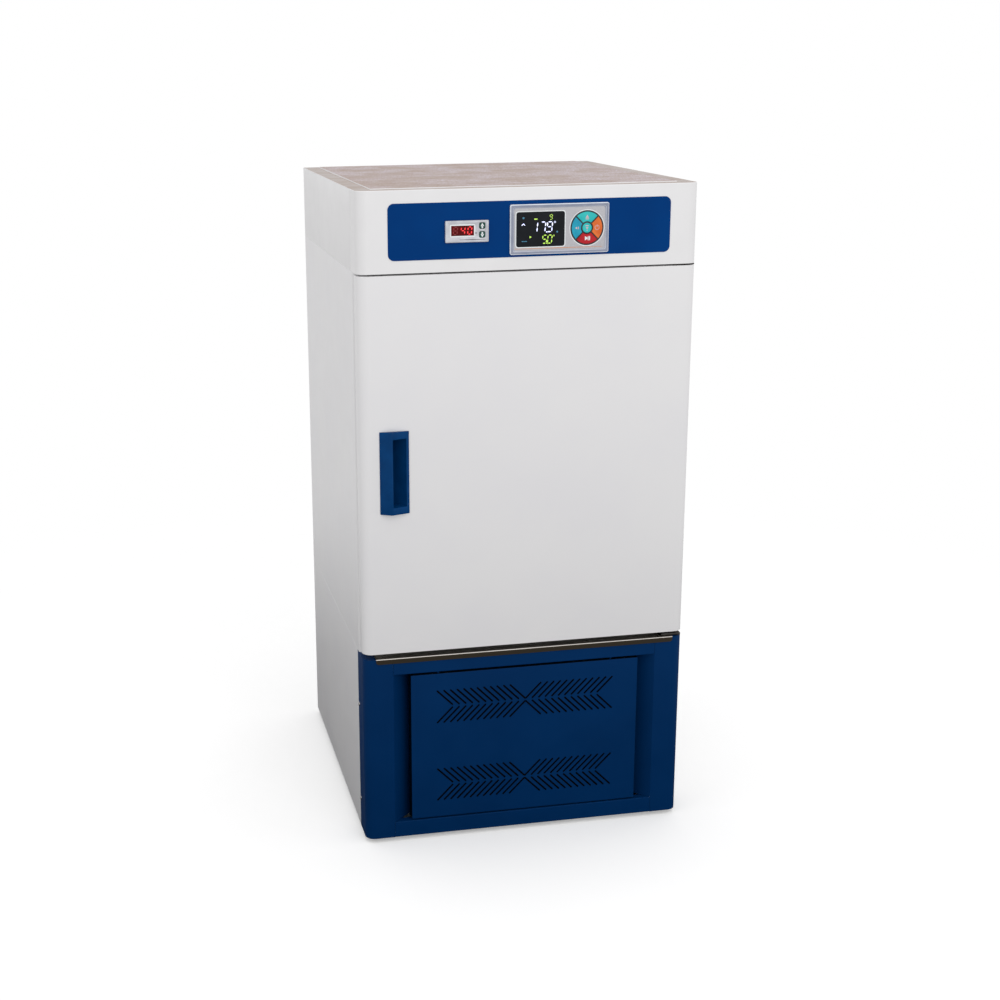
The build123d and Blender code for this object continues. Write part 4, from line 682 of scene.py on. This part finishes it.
def painted_shade_mat():
    """Black mat that lies in the folded rim of the grille, behind its slots; it is a dark sheet
    that stands in for the shade inside the base.
    """
    low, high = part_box("front_grille")
    mat = cuboid("painted_shade_mat", (low.x + MAT_MARGIN, high.x - MAT_MARGIN),
                 (low.y + MAT_SPAN[0], low.y + MAT_SPAN[1]),
                 (low.z + 2 * MAT_MARGIN, high.z - 2 * MAT_MARGIN))
    rounded_over(mat, 1.0 * MM)
    finished(mat, "cabinet", FINISHES["shade_mat_foam"])


painted_shade_mat()


# --- mains inlet and switch -----------------------------------------------------------
PIN_PLACES = ((-7.0, 1.5), (0.0, -2.5), (7.0, 1.5))
PIN_HALF = (1.1 * MM, 2.1 * MM)
PIN_SPAN = (3.0 * MM, 18.2 * MM)


def inlet_pins():
    """Brass sleeves over the three contact pins of the mains inlet."""
    low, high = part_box("mains_inlet")
    middle_x, middle_z = (low.x + high.x) / 2, (low.z + high.z) / 2
    for number, (x, z) in enumerate(PIN_PLACES):
        pin_x, pin_z = middle_x + x * MM, middle_z + z * MM
        pin = cuboid("inlet_pin_" + str(number), (pin_x - PIN_HALF[0], pin_x + PIN_HALF[0]),
                     (low.y + PIN_SPAN[0], low.y + PIN_SPAN[1]),
                     (pin_z - PIN_HALF[1], pin_z + PIN_HALF[1]))
        rounded_over(pin, 0.4 * MM)
        finished(pin, "cabinet", FINISHES["brass"])


inlet_pins()


# --- door seal ----------------------------------------------------------------------
SEAL_STRIP = 16.0 * MM
SEAL_BASE = 2.6 * MM
SEAL_STEPS = ((2.4, 0.0), (0.0, 0.9), (-1.2, 1.5), (1.2, 1.5), (-1.2, 1.5), (1.2, 1.2),
              (-1.9, 0.0), (0.0, 2.2), (0.8, 0.5))


def door_seal():
    """Magnetic door seal: a base strip, two pleats of bellows and a magnet sleeve."""
    low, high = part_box("door_gasket")
    clear_selection()
    centre = ((low.x + high.x) / 2, low.y, (low.z + high.z) / 2)
    bpy.ops.mesh.primitive_plane_add(size=1, location=centre, rotation=(-QUARTER, 0, 0))
    bpy.context.object.scale = (high.x - low.x, high.z - low.z, 1)
    seal = named("door_seal")
    edit(seal)
    bpy.ops.mesh.select_all(action="SELECT")
    bpy.ops.mesh.inset(thickness=SEAL_STRIP)
    bpy.ops.mesh.delete(type="FACE")
    bpy.ops.mesh.select_all(action="SELECT")
    bpy.ops.mesh.extrude_region_move(TRANSFORM_OT_translate={"value": (0, SEAL_BASE, 0)})
    for narrower, further in SEAL_STEPS:
        bpy.ops.mesh.inset(thickness=abs(narrower) * MM, depth=0, use_outset=narrower < 0)
        if further:
            bpy.ops.transform.translate(value=(0, further * MM, 0))
    bpy.ops.mesh.select_all(action="SELECT")
    bpy.ops.mesh.remove_doubles(threshold=SAME)
    bpy.ops.mesh.normals_make_consistent(inside=False)
    leave_edit()
    rounded_over(seal, 0.35 * MM)
    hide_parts("door_gasket")
    return finished(seal, "door", FINISHES["gasket_grey"])


door_seal()


# --- screws -------------------------------------------------------------------------
HEAD_RADIUS = 3.4 * MM
HEAD_HEIGHT = 1.6 * MM
RECESS_ARM = 3.6 * MM
RECESS_WIDTH = 0.8 * MM


def pan_head():
    """A cross-recessed pan head that stands on the XY plane."""
    clear_selection()
    bpy.ops.mesh.primitive_cylinder_add(vertices=32, radius=HEAD_RADIUS, depth=HEAD_HEIGHT,
                                        location=(0, 0, HEAD_HEIGHT / 2))
    head = named("pan_head")
    edit(head)
    pick_faces(lambda centre, normal: normal.z > 0.9)
    bpy.ops.mesh.region_to_loop()
    bpy.ops.mesh.bevel(offset=1.1 * MM, segments=4)
    leave_edit()
    arms = []
    for name, reach_x, reach_y in (("arm_a", RECESS_ARM, RECESS_WIDTH),
                                   ("arm_b", RECESS_WIDTH, RECESS_ARM)):
        arms.append(cuboid(name, (-reach_x / 2, reach_x / 2), (-reach_y / 2, reach_y / 2),
                           (HEAD_HEIGHT - 0.9 * MM, HEAD_HEIGHT + 1 * MM)))
    for arm in arms:
        apply_modifier(head, "BOOLEAN", operation="DIFFERENCE", object=arm, solver="EXACT")
        remove(arm)
    alone(head)
    bpy.ops.object.shade_smooth_by_angle(angle=math.radians(35))
    return head


def facing_matrix(point, direction):
    """Turns +Z to a direction and moves the origin to a point."""
    turn = Vector(direction).to_track_quat("Z", "Y").to_matrix().to_4x4()
    return Matrix.Translation(Vector(point)) @ turn


def screw_places():
    """Where heads show: name, body, points and the way that the heads face."""
    low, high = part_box("panel_screws")
    side_z = (low.z + HEAD_RADIUS, high.z - HEAD_RADIUS)
    side_y = (low.y + high.y) / 2
    case_low, case_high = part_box("base_side_panels")
    edge = case_high.x
    yield "side_screws_left", "cabinet", [(-edge, side_y, z) for z in side_z], (-1, 0, 0)
    yield "side_screws_right", "cabinet", [(edge, side_y, z) for z in side_z], (1, 0, 0)
    low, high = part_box("base_rear_panel")
    rear = [(x, high.y, z) for x in (low.x + 16 * MM, 0, high.x - 16 * MM)
            for z in (low.z + 14 * MM, high.z - 12 * MM)]
    yield "rear_panel_screws", "cabinet", rear, (0, 1, 0)
    low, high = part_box("duct_panel")
    duct = [(x, low.y, z) for x in (low.x + 14 * MM, high.x - 14 * MM)
            for z in (low.z + 16 * MM, (low.z + high.z) / 2, high.z - 16 * MM)]
    yield "duct_panel_screws", "cabinet", duct, (0, -1, 0)


def screws():
    head = pan_head()
    for name, body, points, way in screw_places():
        heads = [copy_at(head, name, facing_matrix(point, way)) for point in points]
        group = joined(name, heads)
        finished(group, body, FINISHES["steel"])
        if name == "side_screws_left":
            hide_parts("panel_screws")
    remove(head)


screws()


# --- marks on the controls ----------------------------------------------------------
MARK_DEPTH = 0.1 * MM
TURN_TO_FRONT = (QUARTER, 0, 0)
SLANT = math.radians(6)
SEGMENTS = {"0": "abcdef", "1": "bc", "4": "bcfg", "5": "acdfg", "7": "abc", "8": "abcdefg",
            "9": "abcdfg"}


class Marks:
    """Flat marks of one colour, drawn in X and Z and lying on a front face."""

    def __init__(self, name, front, centre_x, centre_z):
        self.name = name
        self.front = front
        self.centre = (centre_x, centre_z)
        self.pieces = []

    def shape(self, sides, radius, x=0.0, z=0.0, turn=0.0, length=0.0):
        """A filled polygon, drawn out along its own X by length, turned and moved."""
        clear_selection()
        bpy.ops.mesh.primitive_circle_add(vertices=sides, radius=radius, fill_type="NGON",
                                          rotation=TURN_TO_FRONT)
        piece = named(self.name)
        if length:
            edit(piece, "VERT")
            for side in (-1, 1):
                pick_points(lambda point: point.x * side > radius / 20)
                bpy.ops.transform.translate(value=(side * length / 2, 0, 0))
            leave_edit()
        self.settle(piece, x, z, turn)
        return self

    def hoop(self, radius, width, x=0.0, z=0.0, sides=32, gap=0.0):
        """A ring, open at its top by a gap."""
        clear_selection()
        bpy.ops.mesh.primitive_circle_add(vertices=sides, radius=radius, fill_type="NGON",
                                          rotation=TURN_TO_FRONT)
        piece = named(self.name)
        edit(piece)
        bpy.ops.mesh.select_all(action="SELECT")
        bpy.ops.mesh.inset(thickness=width)
        bpy.ops.mesh.delete(type="FACE")
        if gap:
            pick_faces(lambda centre, normal: centre.z > 0 and abs(centre.x) < gap / 2)
            bpy.ops.mesh.delete(type="FACE")
        leave_edit()
        self.settle(piece, x, z, 0.0)
        return self

    def frame(self, width, height, corner, line):
        """A rounded rectangular border."""
        clear_selection()
        bpy.ops.mesh.primitive_plane_add(size=1, rotation=TURN_TO_FRONT)
        bpy.context.object.scale = (width, height, 1)
        piece = named(self.name)
        edit(piece, "VERT")
        bpy.ops.mesh.select_all(action="SELECT")
        bpy.ops.mesh.bevel(offset=corner, segments=6, affect="VERTICES")
        bpy.ops.mesh.select_all(action="SELECT")
        bpy.ops.mesh.select_mode(type="FACE")
        bpy.ops.mesh.inset(thickness=line)
        bpy.ops.mesh.delete(type="FACE")
        leave_edit()
        self.settle(piece, 0.0, 0.0, 0.0)
        return self

    def settle(self, piece, x, z, turn):
        """Thickens a flat mark towards the front and moves it to its place on the face."""
        edit(piece)
        bpy.ops.mesh.select_all(action="SELECT")
        bpy.ops.mesh.extrude_region_move(TRANSFORM_OT_translate={"value": (0, -MARK_DEPTH, 0)})
        bpy.ops.mesh.select_all(action="SELECT")
        bpy.ops.mesh.normals_make_consistent(inside=False)
        leave_edit()
        alone(piece)
        piece.rotation_euler = (0, turn, 0)
        piece.location = (self.centre[0] + x, self.front, self.centre[1] + z)
        bpy.ops.object.transform_apply(location=True, rotation=True, scale=True)
        self.pieces.append(piece)

    def digit(self, which, height, stroke, x, z):
        """A slanted seven-segment digit; the segments run a to g as usual."""
        width = height * 0.46
        half = height / 2 - stroke / 2
        reach = width - stroke * 1.25
        tall = height / 2 - stroke * 1.3
        lean = math.tan(SLANT)
        bars = {
            "a": (half * lean, half, 0.0, reach), "g": (0.0, 0.0, 0.0, reach),
            "d": (-half * lean, -half, 0.0, reach),
            "b": (width / 2 + half * lean / 2, half / 2, 1.0, tall),
            "c": (width / 2 - half * lean / 2, -half / 2, 1.0, tall),
            "f": (-width / 2 + half * lean / 2, half / 2, 1.0, tall),
            "e": (-width / 2 - half * lean / 2, -half / 2, 1.0, tall),
        }
        for segment in SEGMENTS[which]:
            bar_x, bar_z, upright, length = bars[segment]
            turn = upright * (QUARTER + SLANT)
            self.shape(6, stroke / 2, x + bar_x, z + bar_z, turn, length - stroke)
        return self

    def done(self, body, slot, finish):
        return finished(joined(self.name, self.pieces), body, FINISHES[finish])


def controller_display():
    """The lit liquid-crystal window: measured value, set value and small state icons."""
    low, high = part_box("controller_window")
    front, x, z = low.y, (low.x + high.x) / 2, (low.z + high.z) / 2
    reading = Marks("reading_digits", front, x, z)
    for which, offset in (("1", -9.2), ("7", 3.9), ("9", 15.0)):
        reading.digit(which, 17.4 * MM, 2.0 * MM, offset * MM, 3.4 * MM)
    reading.shape(12, 1.1 * MM, 10.2 * MM, -4.6 * MM)
    reading.hoop(1.5 * MM, 0.6 * MM, 23.4 * MM, 10.6 * MM, sides=20)
    for side in (-1, 1):
        reading.shape(6, 0.7 * MM, (-28 + side * 1.2) * MM, 7.8 * MM, side * 0.75, 3.2 * MM)
    reading.done("cabinet", "display_black", "white_light")
    setting = Marks("setting_digits", front, x, z)
    for which, offset in (("5", 6.9), ("0", 15.4)):
        setting.digit(which, 14.4 * MM, 1.8 * MM, offset * MM, -16.0 * MM)
    setting.digit("9", 8.8 * MM, 1.1 * MM, 17.2 * MM, 18.6 * MM)
    setting.shape(12, 0.9 * MM, 10.9 * MM, -22.6 * MM)
    setting.hoop(1.2 * MM, 0.5 * MM, 22.0 * MM, -10.6 * MM, sides=20)
    setting.shape(6, 1.0 * MM, -7.7 * MM, 15.9 * MM, 0.0, 4.2 * MM)
    setting.shape(3, 2.2 * MM, -16.6 * MM, -12.0 * MM, QUARTER)
    setting.done("cabinet", "display_black", "lime_light")
    icons = Marks("dim_icons", front, x, z)
    icons.shape(5, 1.9 * MM, -28.0 * MM, 18.0 * MM).shape(16, 1.5 * MM, 27.4 * MM, -4.8 * MM)
    for step in (-1, 0, 1):
        icons.shape(6, 0.8 * MM, (-26.5 + 2.9 * step) * MM, -18.6 * MM, 0.0, 1.4 * MM)
    icons.done("cabinet", "display_black", "dim_light")


KEYPAD_HOLE = 27.6 * MM
FACE_LIFT = 0.15 * MM
FACE_INSET = (6.2 * MM, 5.9 * MM)
BORDER_MARGIN = 3.2 * MM


def face_plate():
    """The controller's printed face: an inset plate, open for the window and the keypad."""
    low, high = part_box("controller_bezel")
    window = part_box("controller_window")
    pad = [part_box(node) for node in ("key_left", "key_right", "key_up", "key_down")]
    pad_x = (pad[0][0].x + pad[1][1].x) / 2
    pad_z = (pad[2][1].z + pad[3][0].z) / 2
    front = window[0].y
    sheet = plate("controller_face", (low.x + FACE_INSET[0], high.x - FACE_INSET[0]),
                  (front - FACE_LIFT, front + 0.1 * MM),
                  (low.z + FACE_INSET[1], high.z - FACE_INSET[1]), 4.0 * MM, 0.08 * MM)
    gap = 0.15 * MM
    hole = cuboid("window_hole", (window[0].x - gap, window[1].x + gap),
                  (front - 1 * MM, front + 1 * MM), (window[0].z - gap, window[1].z + gap))
    edit(hole, "EDGE")
    pick_edges(runs_backwards)
    bpy.ops.mesh.bevel(offset=3.9 * MM, segments=6)
    leave_edit()
    clear_selection()
    bpy.ops.mesh.primitive_cylinder_add(vertices=96, radius=KEYPAD_HOLE, depth=2 * MM,
                                        location=(pad_x, front, pad_z), rotation=TURN_TO_FRONT)
    disc = named("keypad_hole")
    for cutter in (hole, disc):
        apply_modifier(sheet, "BOOLEAN", operation="DIFFERENCE", object=cutter, solver="EXACT")
        remove(cutter)
    finished(sheet, "cabinet", FINISHES["face_print"])
    line = Marks("copper_line", front - FACE_LIFT, (low.x + high.x) / 2, low.z)
    line.shape(6, 0.75 * MM, -1.8 * MM, 9.1 * MM, 0.0, 142 * MM)
    line.done("cabinet", "silver_plastic", "copper_ink")
    rim = Marks("window_border", front - FACE_LIFT, (window[0].x + window[1].x) / 2,
                (window[0].z + window[1].z) / 2)
    rim.frame(window[1].x - window[0].x + BORDER_MARGIN,
              window[1].z - window[0].z + BORDER_MARGIN, 5.0 * MM, 1.4 * MM)
    rim.done("cabinet", "silver_plastic", "white_ink")
    hoop = Marks("keypad_border", front - FACE_LIFT, pad_x, pad_z)
    hoop.hoop(KEYPAD_HOLE + 1.3 * MM, 1.2 * MM, sides=96)
    hoop.done("cabinet", "silver_plastic", "white_ink")


def key_marks():
    """Printed symbols on the five keypad keys and the two thermostat keys."""
    def over(node, name):
        low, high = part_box(node)
        return Marks(name, low.y, (low.x + high.x) / 2, (low.z + high.z) / 2)
    up = over("key_up", "key_up_mark").shape(3, 3.4 * MM, 0, 0.6 * MM)
    up.shape(6, 0.8 * MM, 0, -2.6 * MM, 0.0, 4.6 * MM).done("key_up", "key_teal", "pale_ink")
    left = over("key_left", "key_left_mark").shape(3, 2.4 * MM, -1.0 * MM, 0, -QUARTER)
    left.shape(6, 0.8 * MM, 2.2 * MM, 0, QUARTER, 2.8 * MM).done("key_left", "key_blue", "pale_ink")
    right = over("key_right", "key_right_mark").hoop(3.8 * MM, 0.7 * MM, gap=3.0 * MM)
    right.shape(6, 0.6 * MM, 0, 2.6 * MM, QUARTER, 3.4 * MM)
    right.done("key_right", "key_orange", "pale_ink")
    down = over("key_down", "key_down_mark").shape(3, 3.9 * MM, -1.4 * MM, 0, QUARTER)
    for offset in (2.0, 4.4):
        down.shape(6, 1.0 * MM, offset * MM, 0, QUARTER, 5.0 * MM)
    down.done("key_down", "key_red", "white_ink")
    centre = over("key_centre", "key_centre_mark").shape(6, 0.9 * MM, 0, 3.2 * MM, 0.0, 4.0 * MM)
    centre.shape(3, 2.6 * MM, 0, -0.4 * MM, math.pi).shape(12, 0.8 * MM, 0, -4.3 * MM)
    centre.done("key_centre", "key_teal", "pale_ink")
    for node, way in (("thermostat_key_up", 1), ("thermostat_key_down", -1)):
        turn = 0.0 if way > 0 else math.pi
        arrow = over(node, node + "_mark").shape(3, 3.3 * MM, 0, way * 0.9 * MM, turn)
        arrow.shape(6, 1.5 * MM, 0, -way * 1.9 * MM, QUARTER, 1.4 * MM)
        arrow.done(node, "key_green", "white_ink")


def thermostat_display():
    """The red light-emitting display, its pale frame, status lamp and dark rule."""
    low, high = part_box("thermostat_window")
    case_low, case_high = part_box("thermostat_case")
    x, z = (low.x + high.x) / 2, (low.z + high.z) / 2
    # The unlit digit glows faintly: painted light.
    ghost = Marks("unlit_digit", low.y, x, z)
    ghost.digit("8", 13.0 * MM, 1.7 * MM, -11.4 * MM, 0).done("cabinet", "display_red", "red_ghost")
    value = Marks("limit_digits", low.y, x, z)
    value.digit("4", 13.0 * MM, 1.9 * MM, 0.6 * MM, 0).digit("0", 13.0 * MM, 1.9 * MM, 11.6 * MM, 0)
    value.done("cabinet", "display_red", "red_light")
    frame_marks = Marks("thermostat_frame", case_low.y, x, z)
    frame_marks.frame(high.x - low.x + 4.6 * MM, high.z - low.z + 4.2 * MM, 1.6 * MM, 2.0 * MM)
    frame_marks.done("cabinet", "silver_plastic", "white_ink")
    rule = Marks("thermostat_rule", case_low.y, x, z)
    rule.shape(6, 0.55 * MM, 16.4 * MM, -14.1 * MM, 0.0, 41 * MM)
    rule.hoop(1.5 * MM, 0.5 * MM, 21.4 * MM, -4.0 * MM, sides=20)
    rule.done("cabinet", "silver_plastic", "dark_ink")


controller_display()
face_plate()
key_marks()
thermostat_display()


# --- floor, light and camera --------------------------------------------------------
def fading_floor():
    """A pale floor that fades into the white air around it; it bounces little light upwards."""
    clear_selection()
    bpy.ops.mesh.primitive_circle_add(vertices=96, radius=FLOOR_END, fill_type="NGON")
    floor = named("studio_floor")
    ground = Finish("studio_ground", 0.9)
    rays = ground.add("ShaderNodeLightPath")
    seen = ground.ramp(ground.noise(0.6), (0.3, (0.86, 0.86, 0.86, 1)),
                       (0.7, (0.89, 0.89, 0.89, 1)))
    dull = ground.ramp(ground.noise(0.6), (0.3, (BOUNCE, BOUNCE, BOUNCE, 1)),
                       (0.7, (BOUNCE, BOUNCE, BOUNCE, 1)))
    ground.colour(ground.blend(rays.outputs["Is Camera Ray"], dull, seen))
    black = ground.ramp(rays.outputs["Is Camera Ray"], (0.0, (0, 0, 0, 1)), (1.0, (1, 1, 1, 1)))
    ground.glow(black, SEEN_LIFT)
    ground.set(Specular_IOR_Level=0.0)
    radius = ground.add("ShaderNodeVectorMath")
    radius.operation = "LENGTH"
    ground.link(ground.coordinates.outputs["Object"], radius.inputs[0])
    fade = ground.spread(radius.outputs["Value"], (FLOOR_START, FLOOR_END), (0.0, 1.0))
    gone = ground.add("ShaderNodeBsdfTransparent")
    mix = ground.add("ShaderNodeMixShader")
    ground.link(fade, mix.inputs[0])
    ground.link(ground.shader.outputs[0], mix.inputs[1])
    ground.link(gone.outputs[0], mix.inputs[2])
    ground.link(mix.outputs[0], ground.tree.nodes["Material Output"].inputs["Surface"])
    floor.data.materials.append(ground.material)


def white_air():
    """White air to look at, and dimmer light from all round."""
    world = bpy.data.worlds.new("studio_air")
    world.use_nodes = True
    tree = world.node_tree
    rays = tree.nodes.new("ShaderNodeLightPath")
    strength = tree.nodes.new("ShaderNodeMapRange")
    strength.inputs["To Min"].default_value = AIR
    strength.inputs["To Max"].default_value = 1.0
    tree.links.new(rays.outputs["Is Camera Ray"], strength.inputs["Value"])
    background = tree.nodes["Background"]
    background.inputs["Color"].default_value = (1, 1, 1, 1)
    tree.links.new(strength.outputs["Result"], background.inputs["Strength"])
    bpy.context.scene.world = world


def studio():
    """A plain pale floor under soft light from the front, from above and from the left."""
    fading_floor()
    white_air()
    for name, place, aim, size, power in LAMPS:
        clear_selection()
        bpy.ops.object.light_add(type="AREA", location=place)
        lamp = bpy.context.object
        lamp.name = name
        lamp.data.shape = "RECTANGLE"
        lamp.data.size, lamp.data.size_y = size
        lamp.data.energy = power
        lamp.rotation_euler = (Vector(aim) - Vector(place)).to_track_quat("-Z", "Y").to_euler()
    bpy.context.scene.view_settings.view_transform = "Standard"


AIR = 0.82
BOUNCE = 0.12
SEEN_LIFT = 0.3
FLOOR_START = 0.7
FLOOR_END = 1.9
LAMPS = (
    ("front_softbox", (0.8, -3.5, 1.6), (0.0, -0.3, 0.8), (2.0, 1.6), 18),
    ("high_softbox", (0.0, -1.8, 2.3), (0.0, -0.3, 1.0), (1.2, 0.6), 2.6),
    ("left_softbox", (-1.7, -0.3, 2.2), (-0.28, 0.0, 1.0), (1.0, 0.8), 0.6),
)
EYE = (-0.68147, -2.74412, 1.29969)
EYE_RIGHT = (0.98172, -0.19002, -0.01112)
EYE_UP = (0.06109, 0.25921, 0.96389)
EYE_BACK = (-0.18028, -0.94694, 0.26608)
SENSOR = 36
LENS = 57.18
SHIFT = 0.10


def camera():
    """The view from a little left of the front and above, slightly off centre."""
    data = bpy.data.cameras.new("view")
    eye = bpy.data.objects.new("view", data)
    bpy.context.scene.collection.objects.link(eye)
    turn = Matrix((EYE_RIGHT, EYE_UP, EYE_BACK)).transposed().to_4x4()
    eye.matrix_world = Matrix.Translation(EYE) @ turn
    data.sensor_width = SENSOR
    data.lens = LENS
    data.shift_x = SHIFT
    bpy.context.scene.camera = eye


studio()
camera()
